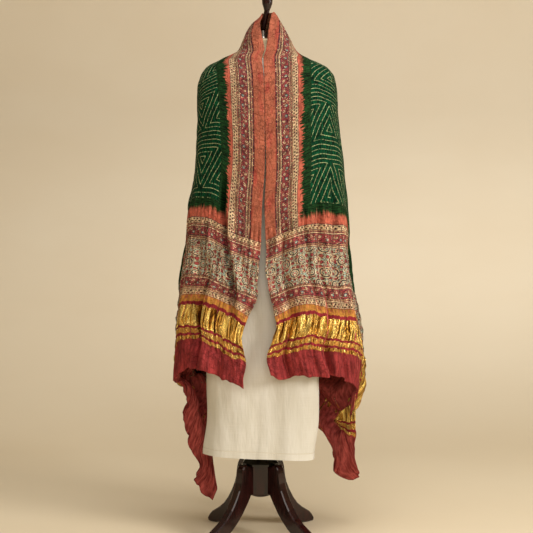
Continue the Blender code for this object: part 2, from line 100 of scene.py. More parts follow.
# Each section runs across the cloth at one distance s from the nape: how far round the figure its two
# edges lie, from 0 degrees at the front to 180 at the back, and its height at seven places on the way.
SECTIONS = {
    "left": {
        "s": (0, 0.05, 0.10, 0.16, 0.214, 0.314, 0.465, 0.615, 0.765, 0.911, 0.996, 1.057, 1.118, 1.18),
        "edge_turn": (180, 112, 44, 13.5, 6.4, 2.8, 3.3, 4.2, 4.4, 5.4, 13, 16, 14.2, 14.1),
        "back_turn": (180, 172, 166, 160, 156, 150, 146, 145, 146, 147, 145, 141, 138, 137),
        "edge": (1.512, 1.508, 1.495, 1.440, 1.390, 1.295, 1.145, 0.995, 0.849, 0.716, 0.638, 0.580, 0.522,
                 0.459),
        "panel": (1.458, 1.476, 1.480, 1.433, 1.388, 1.308, 1.172, 1.026, 0.876, 0.745, 0.670, 0.603, 0.535,
                  0.467),
        "breast": (1.400, 1.440, 1.458, 1.418, 1.378, 1.312, 1.195, 1.065, 0.918, 0.775, 0.697, 0.637, 0.577,
                   0.494),
        "side": (1.200, 1.270, 1.335, 1.315, 1.288, 1.232, 1.140, 1.020, 0.886, 0.750, 0.660, 0.600, 0.535,
                 0.444),
        "blade": (0.980, 1.015, 1.045, 1.035, 1.010, 0.950, 0.860, 0.766, 0.664, 0.563, 0.505, 0.462, 0.412,
                  0.335),
        "corner": (0.830, 0.850, 0.865, 0.855, 0.835, 0.785, 0.710, 0.633, 0.548, 0.458, 0.400, 0.342, 0.270,
                   0.145),
        "back": (0.625, 0.622, 0.615, 0.603, 0.590, 0.565, 0.520, 0.470, 0.415, 0.340, 0.285, 0.228, 0.160,
                 0.058),
    },
    "right": {
        "s": (0, 0.05, 0.10, 0.16, 0.214, 0.314, 0.465, 0.615, 0.765, 0.911, 0.996, 1.057, 1.118, 1.18),
        "edge_turn": (180, 98, 22, 4.4, -2.8, -2.0, -2.3, -2.3, -0.6, 2.1, 5.4, 3.0, -1.0, 2.0),
        "back_turn": (180, 172, 166, 160, 156, 151, 148, 148, 149, 151, 152, 152, 150, 148),
        "edge": (1.512, 1.510, 1.500, 1.440, 1.390, 1.295, 1.145, 0.997, 0.855, 0.719, 0.640, 0.585, 0.529,
                 0.473),
        "panel": (1.458, 1.478, 1.486, 1.436, 1.391, 1.311, 1.174, 1.033, 0.895, 0.753, 0.671, 0.613, 0.553,
                  0.486),
        "breast": (1.400, 1.445, 1.468, 1.425, 1.382, 1.318, 1.195, 1.052, 0.897, 0.745, 0.655, 0.597, 0.540,
                   0.474),
        "side": (1.200, 1.275, 1.345, 1.322, 1.296, 1.238, 1.135, 1.005, 0.863, 0.718, 0.620, 0.556, 0.488,
                 0.393),
        "blade": (0.980, 1.015, 1.045, 1.035, 1.010, 0.945, 0.845, 0.735, 0.615, 0.490, 0.415, 0.355, 0.285,
                  0.176),
        "corner": (0.830, 0.850, 0.865, 0.855, 0.835, 0.785, 0.705, 0.620, 0.525, 0.420, 0.350, 0.290, 0.218,
                   0.119),
        "back": (0.625, 0.622, 0.615, 0.605, 0.595, 0.575, 0.545, 0.512, 0.475, 0.433, 0.408, 0.386, 0.355,
                 0.292),
    },
}
# How far round the places between the edges settle, how fast with s, and how they leave the nape.
TURNS = {
    "panel": {"settled": 24, "distance": 0.07, "power": 2},
    "breast": {"settled": 47, "distance": 0.07, "power": 2},
    "side": {"settled": 88, "distance": 0.07, "power": 1},
    "blade": {"settled": 109, "distance": 0.20, "power": 1},
    "corner": {"settled": 125, "distance": 0.26, "power": 1},
}

# Folds down the front: place t and depth (inwards is positive) at each s, and the width.
FOLDS = {
    "left": (
        {"s": (0.62, 0.72, 0.90, 0.98, 1.03), "t": (0.125, 0.118, 0.080, 0.056, 0.042),
         "depth": (0, 0.030, 0.031, 0.018, 0), "width": 0.0090, "square": 4},
        {"s": (0.64, 0.72, 0.90, 0.98, 1.03), "t": (0.103, 0.096, 0.058, 0.034, 0.022),
         "depth": (0, -0.012, -0.016, -0.010, 0), "width": 0.011},
        {"s": (0.60, 0.80, 1.00, 1.18), "t": (0.165, 0.155, 0.122, 0.122),
         "depth": (0, -0.006, -0.010, -0.012), "width": 0.022},
        {"s": (0.86, 0.98, 1.10, 1.18), "t": (0.152, 0.150, 0.152, 0.156),
         "depth": (0, 0.024, 0.036, 0.038), "width": 0.009},
        {"s": (0.70, 0.80, 0.92, 1.02), "t": (0.196, 0.194, 0.190, 0.186),
         "depth": (0, 0.008, 0.009, 0), "width": 0.006},
        {"s": (0.50, 0.80, 1.00, 1.18), "t": (0.212, 0.215, 0.215, 0.220),
         "depth": (0, -0.006, -0.010, -0.010), "width": 0.028},
        {"s": (0.68, 0.78, 0.90, 1.00), "t": (0.236, 0.238, 0.242, 0.246),
         "depth": (0, 0.009, 0.008, 0), "width": 0.007},
    ),
    "right": (
        {"s": (0.70, 0.82, 1.00, 1.18), "t": (0.060, 0.052, 0.048, 0.050),
         "depth": (0, 0.018, 0.020, 0.015), "width": 0.012},
        {"s": (0.60, 0.85, 1.18), "t": (0.098, 0.096, 0.100), "depth": (0, -0.006, -0.008), "width": 0.020},
        {"s": (0.66, 0.78, 1.00, 1.18), "t": (0.118, 0.120, 0.128, 0.130),
         "depth": (0, 0.013, 0.008, 0.005), "width": 0.007},
        {"s": (0.66, 0.78, 0.95, 1.10, 1.18), "t": (0.158, 0.160, 0.163, 0.168, 0.172),
         "depth": (0, 0.017, 0.013, 0.018, 0.026), "width": 0.0085},
        {"s": (0.55, 0.85, 1.18), "t": (0.185, 0.188, 0.200), "depth": (0, -0.008, -0.009), "width": 0.016},
        {"s": (0.62, 0.76, 0.95, 1.18), "t": (0.212, 0.216, 0.226, 0.236),
         "depth": (0, 0.022, 0.017, 0.011), "width": 0.010},
    ),
}
# The hanging tails below the hem's front: at each height, where their sides would hang straight, and where
# the limp cloth draws them.
TAILS = {
    "left": {
        "height": (0.092, 0.124, 0.168, 0.215, 0.262, 0.300),
        "low": (-0.1400, -0.1632, -0.1882, -0.2059, -0.2118, -0.2150),
        "high": (-0.1320, -0.1279, -0.1221, -0.1250, -0.1309, -0.1309),
        "drawn_low": (-0.1500, -0.1765, -0.1765, -0.2024, -0.2065, -0.2150),
        "drawn_high": (-0.1350, -0.1385, -0.1388, -0.1397, -0.1330, -0.1309),
        "bottom": 0.058, "lowest": 0.060,
    },
    "right": {
        "height": (0.119, 0.143, 0.167, 0.211, 0.256, 0.285),
        "low": (0.2490, 0.2465, 0.2345, 0.2092, 0.1899, 0.1766),
        "high": (0.2810, 0.2785, 0.2775, 0.2789, 0.2834, 0.2864),
        "drawn_low": (0.2290, 0.2290, 0.2270, 0.2230, 0.2033, 0.1766),
        "drawn_high": (0.2820, 0.2790, 0.2770, 0.2730, 0.2750, 0.2864),
        "bottom": 0.119, "lowest": 0.134,
    },
}
# The edge of the right tail that turns over, so that its gilt face shows: where it lies, its upper and lower
# outline, and the part of the cloth that it is.
TURNED_EDGE = {
    "x": (0.2167, 0.2364, 0.2474, 0.2607, 0.2776),
    "y": (0.0620, 0.0480, 0.0360, 0.0180, 0.0100),
    "top": (0.3195, 0.3486, 0.3596, 0.3731, 0.3861),
    "bottom": (0.3180, 0.2958, 0.2864, 0.2799, 0.2771),
    "s": (1.030, 1.120), "t": (0.36, 0.45), "columns": 33, "rows": 25,
    "lumps": {"height": 0.0022, "x": 0.007, "v": 0.5, "seed": 61},
    "pleats": {"height": 0.0015, "count": 2.5, "x": 0.05},
}
# Hanging pleats at the sides and soft swags under the nape: where each comes in, or goes, along s and t.
SIDE_PLEATS = {"left": {"pitch": 0.168, "offset": 0.05}, "right": {"pitch": 0.172, "offset": 0.02}}
PLEATS = {"depth": 0.026, "slant": 1.2, "s": (0.12, 0.42), "t": (0.28, 0.62)}
SWAGS = {"pitch": 0.21, "depth": 0.006, "sag": 2.2, "gone_s": (0.13, 0.26), "t": (0.16, 0.34)}

# The small relief. Two soft layers and the sway that shifts the rest, then the gathers under the dyed field,
# and the sharp and soft lumps of the ends: their height, size, where they begin and end along s, and the
# draw that is added to the half's seed.
SOFT_RELIEF = (
    {"height": 0.0016, "along": 0.050, "across": 0.040, "draw": 0},
    {"height": 0.0009, "along": 0.021, "across": 0.017, "draw": 1},
)
SWAY = {"along": 0.060, "across": 0.030, "draw": 2}
GATHERS = {"height": 0.0020, "pitch": 0.0135, "sway": 2.4, "begin": (0.695, 0.74), "end": (0.80, 0.97)}
PAST_HEM = (HALF_LENGTH + 0.1, HALF_LENGTH + 0.2)
GOLD = {"begin": (0.985, 1.005), "end": (1.105, 1.13)}
END_RELIEF = (
    {"height": 0.0033, "across": 0.016, "along": 0.11, "sway": 0.4, "sharp": 0.7, "draw": 5,
     "begin": (0.70, 0.80), "end": PAST_HEM},
    {"height": 0.0028, "across": 0.0100, "along": 0.045, "sway": 0.5, "sharp": 0.8, "draw": 3, **GOLD},
    {"height": 0.0008, "across": 0.0060, "along": 0.012, "draw": 6, **GOLD},
    {"height": 0.012, "across": 0.040, "along": 0.13, "draw": 4, "begin": (1.07, HALF_LENGTH), "end": PAST_HEM},
    {"height": 0.0022, "across": 0.016, "along": 0.020, "draw": 7, "begin": (1.10, 1.13), "end": PAST_HEM},
)
# How the hem waves along its length, and how the front edges wander sideways.
HEM_WAVES = {
    "begin": 1.09, "corner_width": 0.015,
    "waves": ({"reach": 0.0110, "length": 0.036, "draw": 0}, {"reach": 0.004, "length": 0.013, "draw": 1}),
}
EDGE_WANDER = {"reach": 0.0030, "length": 0.034, "width": 0.02, "begin": (0.72, 0.85), "draw": 2}
TAILS_FROM = 0.30

# The form under the shift, below the yoke: half width, front and back depth and middle at each height.
FIGURE = {
    "height": (0.20, 0.585, 0.60, 0.70, 0.85, 1.00, 1.12, 1.20, YOKE),
    "half": (0.156, 0.156, 0.156, 0.156, 0.146, 0.128, 0.142, 0.160, 0.180),
    "front": (0.104, 0.104, 0.104, 0.104, 0.097, 0.092, 0.104, 0.104, 0.094),
    "back": (0.110, 0.110, 0.110, 0.112, 0.104, 0.092, 0.096, 0.100, 0.104),
    "middle": (0.006, 0.006, 0.006, 0.007, 0.010, 0.014, 0.018, 0.019, 0.0195),
    "fullness": (0.24, 0.24, 0.22, 0.14, 0.08, 0.05, 0.05, 0.05, 0.05),
}

# The camera: height, distance in front of the pole, sideways step, tilt down and focal length.
CAMERA = {"height": 0.9887, "distance": 3.741, "aside": 0.0173, "tilt": 3.189, "lens": 87.45,
          "sensor": 36.0}


# ---- curves through the tables

def monotone(xs, ys, x):
    """A smooth curve through the points of a table that never swings past them."""
    xs, ys, x = (np.asarray(v, float) for v in (xs, ys, x))
    step = np.diff(xs)
    rise = np.diff(ys) / step
    slope = np.zeros_like(ys)
    same = rise[:-1] * rise[1:] > 0
    mean = 2 * rise[:-1] * rise[1:] / np.where(same, rise[:-1] + rise[1:], 1)
    slope[1:-1] = np.where(same, mean, 0)
    slope[0], slope[-1] = rise[0], rise[-1]
    i = np.clip(np.searchsorted(xs, x, side="right") - 1, 0, len(step) - 1)
    u = np.clip((x - xs[i]) / step[i], 0, 1)
    return (
        ys[i] * (1 + 2 * u) * (1 - u) ** 2 + slope[i] * step[i] * u * (1 - u) ** 2
        + ys[i + 1] * u * u * (3 - 2 * u) - slope[i + 1] * step[i] * u * u * (1 - u)
    )


def eased(x, start, end):
    """0 before start, 1 after end, and a soft rise between them."""
    u = np.clip((x - start) / (end - start), 0, 1)
    return u * u * (3 - 2 * u)


def through(values, u):
    """A smooth curve through equally spaced values."""
    padded = np.concatenate([[2 * values[0] - values[1]], values, [2 * values[-1] - values[-2]]])
    i = np.clip(u.astype(int), 0, len(values) - 2)
    f = u - i
    a, b, c, d = (padded[i + k] for k in range(4))
    return b + 0.5 * f * (c - a + f * (2 * a - 5 * b + 4 * c - d + f * (3 * (b - c) + d - a)))


def uneven(u, v, seed):
    """Smooth seeded unevenness between -1 and 1, with one lump for each unit of u and v."""
    lumps = np.random.default_rng(seed).uniform(-1, 1, (128, 128))
    u, v = np.broadcast_arrays(np.asarray(u, float), np.asarray(v, float))
    i, j = np.floor(u).astype(int), np.floor(v).astype(int)
    f, g = u - i, v - j
    f, g = f * f * (3 - 2 * f), g * g * (3 - 2 * g)
    a, b = lumps[i % 128, j % 128], lumps[(i + 1) % 128, j % 128]
    c, d = lumps[i % 128, (j + 1) % 128], lumps[(i + 1) % 128, (j + 1) % 128]
    return (a * (1 - f) + b * f) * (1 - g) + (c * (1 - f) + d * f) * g


def around(turn, side, left, right, front, back, fullness):
    """A point on a rounded section: turn 0 is the front, 90 the named side and 180 the back."""
    angle = np.radians(turn)
    round_out = 1 + fullness * np.sin(2 * angle) ** 2
    middle, half = (left + right) / 2, (right - left) / 2
    x = middle + side * half * np.sin(angle) * round_out
    depth = np.where(np.cos(angle) > 0, front, back)
    return x, -depth * np.cos(angle) * round_out


# ---- the draped cloth

def unit(vectors):
    return vectors / np.maximum(np.linalg.norm(vectors, axis=-1, keepdims=True), 1e-9)


def cape_reach(height):
    return [monotone(CAPE["height"], CAPE[name], height) for name in ("left", "right", "front", "back")]


def cape_point(turn, height, side):
    x, y = around(turn, side, *cape_reach(height), CAPE_FULLNESS)
    return np.stack([x, y, height], axis=-1)


def section_line(side_name, s):
    """The seven places of the section at s: angles and heights."""
    table = SECTIONS[side_name]
    mirrored_s = (-table["s"][1],) + table["s"]
    turns, heights = [], []
    for place in ("edge", "panel", "breast", "side", "blade", "corner", "back"):
        values = (table[place][1],) + table[place]
        heights.append(monotone(mirrored_s, values, s))
        if place in TURNS:
            turn = TURNS[place]
            fade = math.exp(-((s / turn["distance"]) ** turn["power"]))
            turns.append(turn["settled"] + (180 - turn["settled"]) * fade)
        else:
            turns.append(monotone(table["s"], table[place + "_turn"], s))
    return np.array(turns, float), np.array(heights, float)


def section_points(side_name, s, ts):
    """Points of the smooth cloth at s, spaced so that the front keeps its true width."""
    turns, heights = section_line(side_name, s)
    u = np.linspace(0, len(turns) - 1, LINE_STEPS)
    line = cape_point(through(turns, u), through(heights, u), SIDES[side_name]["sign"])
    run = np.concatenate([[0], np.cumsum(np.linalg.norm(np.diff(line, axis=0), axis=1))])
    beyond = (run[-1] - FRONT_WIDTH) / (WIDTH - FRONT_WIDTH)
    at = np.where(ts < FRONT_WIDTH, ts, FRONT_WIDTH + (ts - FRONT_WIDTH) * beyond)
    return np.stack([np.interp(at, run, line[:, k]) for k in range(3)], axis=-1)


def fold_depth(side_name, s, t):
    """How far the folds move the cloth outwards at s, t."""
    out = np.zeros(np.broadcast(s, t).shape)
    for fold in FOLDS[side_name]:
        place, depth = (monotone(fold["s"], fold[name], s) for name in ("t", "depth"))
        out -= depth * np.exp(-(np.abs((t - place) / fold["width"]) ** fold.get("square", 2)))
    side = SIDE_PLEATS[side_name]
    wave = np.cos(2 * np.pi * (s - side["offset"]) / side["pitch"] + PLEATS["slant"] * t)
    out += PLEATS["depth"] * wave * eased(t, *PLEATS["t"]) * eased(s, *PLEATS["s"])
    swag = np.cos(2 * np.pi * (t + SWAGS["sag"] * s * s) / SWAGS["pitch"])
    return out + SWAGS["depth"] * swag * (1 - eased(s, *SWAGS["gone_s"])) * eased(t, *SWAGS["t"])


def present(s, kind):
    """1 where this kind of relief is, along s, easing in and out."""
    return eased(s, *kind["begin"]) * (1 - eased(s, *kind["end"]))


def crimp(side_name, s, t):
    """The small relief of the cloth: gathers under the dyed field, soft pleats and the crushed gold."""
    seed = SIDES[side_name]["relief_seed"]
    sway = uneven(s / SWAY["along"], t / SWAY["across"], seed + SWAY["draw"])
    gathers = np.cos(2 * np.pi * t / GATHERS["pitch"] + GATHERS["sway"] * sway)
    out = GATHERS["height"] * gathers * present(s, GATHERS)
    for soft in SOFT_RELIEF:
        out = out + soft["height"] * uneven(s / soft["along"], t / soft["across"], seed + soft["draw"])
    for kind in END_RELIEF:
        across = t / kind["across"] + kind.get("sway", 0) * sway
        lumps = uneven(across, s / kind["along"], seed + kind["draw"])
        if "sharp" in kind:
            lumps = 1 - 2 * np.abs(lumps) ** kind["sharp"]
        out = out + kind["height"] * lumps * present(s, kind)
    return out


def limp_ends(points, s_all, ts):
    """The soft ends: the hem waves along its length, the right front corner rounds off, the front edges
    wander, and the tails hang drawn in."""
    along, across = (unit(np.gradient(points, axis=axis)) for axis in (0, 1))
    for side_name, side in SIDES.items():
        of_side = (side["sign"] * s_all > 0)[:, None]
        s = np.abs(s_all)[:, None]
        reach = -side["corner"] * np.exp(-((ts / HEM_WAVES["corner_width"]) ** 2))
        for wave in HEM_WAVES["waves"]:
            reach = reach + wave["reach"] * uneven(ts / wave["length"], 0.5, side["edge_seed"] + wave["draw"])
        reach = reach[None, :] * eased(s, HEM_WAVES["begin"], HALF_LENGTH)
        wander = uneven(s / EDGE_WANDER["length"], 0.5, side["edge_seed"] + EDGE_WANDER["draw"])
        wander = (EDGE_WANDER["reach"] * wander * eased(s, *EDGE_WANDER["begin"])
                  * np.exp(-((ts / EDGE_WANDER["width"]) ** 2)))
        moved = side["sign"] * along * reach[..., None] + across * wander[..., None]
        points = points + of_side[..., None] * moved
        tail = TAILS[side_name]
        height = points[..., 2]
        low, high, drawn_low, drawn_high = (
            monotone(tail["height"], tail[name], height) for name in ("low", "high", "drawn_low", "drawn_high"))
        drawn_x = drawn_low + (points[..., 0] - low) / (high - low) * (drawn_high - drawn_low)
        hangs = of_side & (height < tail["height"][-1]) & (ts[None, :] > TAILS_FROM)
        points[..., 0] = np.where(hangs, drawn_x, points[..., 0])
        turn_up = tail["height"][2]
        part = (height - tail["bottom"]) / (turn_up - tail["bottom"])
        lifted = tail["lowest"] + part * (turn_up - tail["lowest"])
        points[..., 2] = np.where(hangs & (height < turn_up), lifted, height)
    return points


def grid_normals(points):
    along, across = (np.gradient(points, axis=axis) for axis in (0, 1))
    return unit(np.cross(across, along))


def steps(*runs):
    """Places along a line from runs of (start, end, spacing), with the last end added."""
    places = [np.linspace(a, b, max(1, round((b - a) / gap)), endpoint=False) for a, b, gap in runs]
    return np.concatenate(places + [[runs[-1][1]]])


def draped_surface():
    """The cloth's points with s and t of each, from the left end over the nape to the right end."""
    s_half, ts = steps(*S_RUNS), steps(*T_RUNS)
    halves, relief = {}, {}
    for name in SIDES:
        halves[name] = np.array([section_points(name, s, ts) for s in s_half])
        relief[name] = (fold_depth(name, s_half[:, None], ts[None, :])
                        + crimp(name, s_half[:, None], ts[None, :]))
    points, depth = (np.concatenate([half["left"][:0:-1], half["right"]]) for half in (halves, relief))
    s_all = np.concatenate([-s_half[:0:-1], s_half])
    outward = grid_normals(points)
    from_middle = points[..., :2] - np.array([MIDDLE_X, 0.0])
    flip = np.sign((outward[..., :2] * from_middle).sum(-1).mean())
    return limp_ends(points + flip * outward * depth[..., None], s_all, ts), s_all, ts, flip


def rolled_edges(points, s_all, ts, flip):
    """Adds a narrow rolled hem along all four edges, turned to the inside."""
    turns = np.radians(ROLL_TURNS)
    s_grid, t_grid = np.meshgrid(s_all, ts, indexing="ij")
    for axis in (1, 0):
        for end, beside in ((0, 1), (-1, -2)):
            edge = np.take(points, [end], axis=axis)
            outward = unit(edge - np.take(points, [beside], axis=axis))
            inward = -flip * np.take(grid_normals(points), [end], axis=axis)
            rings = [edge + ROLLED_HEM * (inward * (1 - math.cos(a)) + outward * math.sin(a)) for a in turns]
            widened = []
            for grid, extra in ((points, rings), (s_grid, None), (t_grid, None)):
                extra = extra or [np.take(grid, [end], axis=axis)] * len(turns)
                widened.append(np.concatenate(extra[::-1] + [grid] if end == 0 else [grid] + extra, axis=axis))
            points, s_grid, t_grid = widened
    return points, s_grid, t_grid


# ---- the figure: dress form and shift

def figure_section(height):
    """Left, right, front, back and fullness of the shift's outside at a height."""
    value = {name: float(monotone(FIGURE["height"], FIGURE[name], min(height, YOKE)))
             for name in ("half", "front", "back", "middle", "fullness")}
    low = (value["middle"] - value["half"], value["middle"] + value["half"], value["front"], value["back"])
    left, *others = (float(reach) for reach in cape_reach(height + SHOULDER_DROP))
    high = (left + SHOULDER_GAP, *[reach - SHOULDER_GAP for reach in others])
    mix = float(eased(height, *YOKE_BLEND))
    return [a + (b - a) * mix for a, b in zip(low, high)] + [value["fullness"]]


def figure_ring(height, inset):
    left, right, front, back, fullness = figure_section(height)
    x, y = around(SHIFT_TURNS, 1, left + inset, right - inset, front - inset, back - inset, fullness)
    slope = HEM_SLOPE * (1 - eased(height, SHIFT_HEM, SLOPE_ENDS))
    return np.stack([x, y, height - slope * x], axis=-1)


# ---- meshes

def shown(name, verts, faces, material, smooth_angle=None, uv=None):
    """A mesh object in the pole's own frame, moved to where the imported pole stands."""
    mesh = bpy.data.meshes.new(name)
    mesh.from_pydata([tuple(map(float, v + AXIS)) for v in verts], [], faces)
    obj = bpy.data.objects.new(name, mesh)
    bpy.context.scene.collection.objects.link(obj)
    if uv is not None:
        layer = mesh.uv_layers.new(name="flat_cloth")
        index = np.empty(len(mesh.loops), np.int32)
        mesh.loops.foreach_get("vertex_index", index)
        layer.data.foreach_set("uv", np.asarray(uv, np.float32)[index].ravel())
    work = bmesh.new()
    work.from_mesh(mesh)
    bmesh.ops.recalc_face_normals(work, faces=work.faces)
    work.to_mesh(mesh)
    work.free()
    mesh.shade_smooth()
    if smooth_angle is not None:
        mesh.set_sharp_from_angle(angle=math.radians(smooth_angle))
    mesh.materials.append(material)
    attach(obj, "root")
    return obj


def grid_faces(rows, columns, closed=False):
    """Quads between the points of a grid; closed joins the last column to the first."""
    i, j = np.meshgrid(np.arange(rows - 1), np.arange(columns if closed else columns - 1), indexing="ij")
    a, b = i * columns + j, i * columns + (j + 1) % columns
    return np.stack([a, b, b + columns, a + columns], axis=-1).reshape(-1, 4).tolist()


# ---- materials

INKS = {
    "green": "#03482A",
    # The near-black green here and the near-black olive two lines below are painted shade for the hollows of
    # the crimps.
    "green_painted_crimp_shade": "#011A0C",
    "olive": "#1E4420",
    "olive_painted_crimp_shade": "#081808",
    "tied_dots": "#B4B986",
    "salmon": "#A75E47",
    "salmon_stain": "#A23C36",
    "coral": "#B65E4A",
    "worn": "#94654E",
    "cream": "#E0C49A",
    "tan": "#B48C68",
    "red": "#A04046",
    "burgundy": "#682433",
    "purple": "#452A38",
    "black": "#1B1216",
    "mint": "#96B3A6",
    "turquoise": "#7FA39C",
    "gold": "#BE8630",
    # The pale gold and the dark brown below it are a painted highlight and painted crease shade on the gilt.
    "gold_light": "#F0D27A",
    "gold_crease": "#5E3810",
    "orange": "#BE843C",
    "crimson": "#86282E",
    "maroon": "#8E3434",
    # The reverse's two maroons are painted far lighter than the hem's maroon, as painted light on the tails.
    "maroon_reverse": "#D06460",
    "deep_maroon_painted_light": "#8E3A38",
}

# The printed border, from the edge at the neck: each stripe starts so many metres in.
BORDER_BANDS = (
    {"from": 0.0000, "ink": "salmon"}, {"from": 0.0295, "ink": "burgundy"}, {"from": 0.0320, "ink": "purple"},
    {"from": 0.0340, "ink": "tan"}, {"from": 0.0375, "ink": "purple"}, {"from": 0.0395, "ink": "tan"},
    {"from": 0.0425, "ink": "cream"}, {"from": 0.0455, "ink": "purple"}, {"from": 0.0480, "ink": "red"},
    {"from": 0.0680, "ink": "purple"}, {"from": 0.0700, "ink": "cream"}, {"from": 0.0720, "ink": "tan"},
    {"from": 0.0740, "ink": "purple"}, {"from": 0.0758, "ink": "tan"}, {"from": 0.0785, "ink": "black"},
    {"from": 0.0800, "ink": "cream"}, {"from": 0.0955, "ink": "purple"}, {"from": 0.0968, "ink": "coral"},
)
# The printed cross bands at both ends, then the gilt ones and the hem: distance from the nape.
PRINTED_BANDS = (
    {"from": 0.758, "ink": "purple"}, {"from": 0.760, "ink": "cream"}, {"from": 0.774, "ink": "purple"},
    {"from": 0.776, "ink": "tan"}, {"from": 0.779, "ink": "burgundy"}, {"from": 0.781, "ink": "cream"},
    {"from": 0.784, "ink": "purple"}, {"from": 0.786, "ink": "red"}, {"from": 0.810, "ink": "purple"},
    {"from": 0.812, "ink": "tan"}, {"from": 0.815, "ink": "burgundy"}, {"from": 0.817, "ink": "cream"},
    {"from": 0.821, "ink": "purple"}, {"from": 0.823, "ink": "mint"}, {"from": 0.923, "ink": "purple"},
    {"from": 0.925, "ink": "tan"}, {"from": 0.928, "ink": "burgundy"}, {"from": 0.930, "ink": "cream"},
    {"from": 0.932, "ink": "purple"}, {"from": 0.934, "ink": "red"}, {"from": 0.957, "ink": "purple"},
    {"from": 0.959, "ink": "tan"}, {"from": 0.962, "ink": "burgundy"}, {"from": 0.964, "ink": "cream"},
    {"from": 0.967, "ink": "purple"}, {"from": 0.969, "ink": "cream"}, {"from": 0.983, "ink": "purple"},
)
GILT_BANDS = (
    {"from": 0.985, "ink": "orange"}, {"from": 1.004, "ink": "crimson"}, {"from": 1.015, "ink": "gold"},
    {"from": 1.076, "ink": "crimson"}, {"from": 1.083, "ink": "orange"}, {"from": 1.097, "ink": "crimson"},
    {"from": 1.105, "ink": "orange"}, {"from": 1.114, "ink": "maroon"},
)
# The stretch of s or t that each of these tables is drawn over.
BANDS_OVER = {"border": (0.0, 0.1), "ends": (0.75, 0.99), "gilt": (0.985, HALF_LENGTH)}
# Rows of the tied field: triangles of this width and height, how far apart the lines of ties are, and the
# pitch of the rows. The dyer set out each half by itself: where its rows begin, and where an apex lies.
TRIANGLE = {"width": 0.131, "height": 0.137, "line": 0.0137, "row": 0.190}
ROWS_BEGIN = {"left": 0.165, "right": 0.013}
APEX_AT = {"left": 0.137, "right": 0.200}
# Each tie is a dot about 2 mm across, 4 mm from the next; the lines at the nape run straight.
TIE = {"apart": 0.0040, "uneven": 0.45, "reach": 0.47, "soft": 0.12, "line": 0.0009, "line_soft": 0.0004,
       "straight": 2.2}
# Where the nape parts the two halves, and how sharply.
NAPE = (-0.001, 0.001)
# The ringed rosettes of the block print at the ends.
ROSETTE = {"pitch": 0.046, "row": 0.033, "first_row": 0.8570, "beside": 0.012, "petals": 8,
           "petal_ring": 0.0064, "petal_reach": 0.0017, "soft": 0.0004}
# Where the dyes end: the coral edge along the border and at the end, and the width of the dark dye inside it.
DYE = {"side": 0.1095, "end": 0.7290, "dark": 0.0275, "bleed_power": 1.8}

# Rows that the blocks print, in the order of printing: the middle of each, how far it reaches, and the sway
# of its stem or the dots' own measures.
BORDER_ROWS = (
    {"middle": 0.0580, "reach": 0.0100, "sway": 0.0090},
    {"middle": 0.0877, "pitch": 0.0094, "radius": 0.0024, "apart": 0.0034},
    {"middle": 0.0410, "pitch": 0.0062, "radius": 0.0012, "apart": 0.0009},
    {"middle": 0.0718, "pitch": 0.0062, "radius": 0.0011, "apart": 0.0006},
)
END_ROWS = (
    {"middle": 0.7980, "reach": 0.0120, "sway": 0.0095},
    {"middle": 0.9455, "reach": 0.0115, "sway": 0.0095},
    {"middle": 0.7670, "pitch": 0.0094, "radius": 0.0023, "apart": 0.0032},
    {"middle": 0.9760, "pitch": 0.0094, "radius": 0.0023, "apart": 0.0032},
    {"middle": 0.8185, "pitch": 0.0062, "radius": 0.0011, "apart": 0.0006},
    {"middle": 0.9265, "pitch": 0.0062, "radius": 0.0011, "apart": 0.0006},
)
FLOWER = {"pitch": 0.0300, "leaves": 0.0052, "uneven": 0.9, "stem_sway": 0.75, "beside": 0.38, "edge": 0.0002}
DOT_SOFTNESS = 0.35
# Layers of ink: what each is measured from, how near that has to be, and how soft the edge is.
FLOWER_INKS = (
    {"ink": "burgundy", "from": "leaf", "reach": 0.36, "soft": 0.10},
    {"ink": "tan", "from": "leaf", "reach": 0.15, "soft": 0.08},
    {"ink": "black", "from": "stem", "reach": 0.0009, "soft": 0.0006},
    {"ink": "purple", "from": "bud", "reach": 0.0048, "soft": 0.0006},
    {"ink": "purple", "from": "blossom", "reach": 0.0054, "soft": 0.0006},
    {"ink": "cream", "from": "bud", "reach": 0.0034, "soft": 0.0008},
    {"ink": "turquoise", "from": "blossom", "reach": 0.0034, "soft": 0.0012},
    {"ink": "red", "from": "bud", "reach": 0.0015, "soft": 0.0007},
    {"ink": "cream", "from": "blossom", "reach": 0.0013, "soft": 0.0006},
)
MINT_INKS = (
    {"ink": "cream", "from": "twigs", "reach": 0.080, "soft": 0.03},
    {"ink": "black", "from": "twigs", "reach": 0.036, "soft": 0.02},
    {"ink": "black", "from": "seeds", "reach": 0.25, "soft": 0.05},
    {"ink": "cream", "from": "seeds", "reach": 0.10, "soft": 0.05},
    {"ink": "cream", "from": "buds", "reach": 0.40, "soft": 0.03},
    {"ink": "black", "from": "buds", "reach": 0.35, "soft": 0.03},
    {"ink": "red", "from": "buds", "reach": 0.235, "soft": 0.03},
    {"ink": "mint", "from": "rosette", "reach": 0.0150, "soft": 0.0004},
    {"ink": "cream", "from": "rosette", "at": 0.0138, "reach": 0.0008, "soft": 0.0004},
    {"ink": "black", "from": "rosette", "at": 0.0116, "reach": 0.0014, "soft": 0.0004},
    {"ink": "cream", "from": "rosette", "at": 0.0080, "reach": 0.0011, "soft": 0.0004},
    {"ink": "black", "from": "petals"},
    {"ink": "cream", "from": "rosette", "at": 0.0036, "reach": 0.0007, "soft": 0.0004},
    {"ink": "red", "from": "rosette", "reach": 0.0024, "soft": 0.0005},
)
MINT_CELLS = {
    "buds": {"size": 0.0148, "uneven": 0.36},
    "seeds": {"size": 0.0078, "uneven": 0.9},
    "twigs": {"size": 0.0105, "uneven": 1.0, "feature": "DISTANCE_TO_EDGE"},
}
MINT_AREA = {"at": 0.8735, "reach": 0.0500, "soft": 0.0003}
SPECKS = {"size": 0.0036, "uneven": 1.0, "reach": 0.34, "soft": 0.08,
          "inks": (("Red", "purple", 0.30), ("Green", "cream", 0.16), ("Blue", "red", 0.20))}
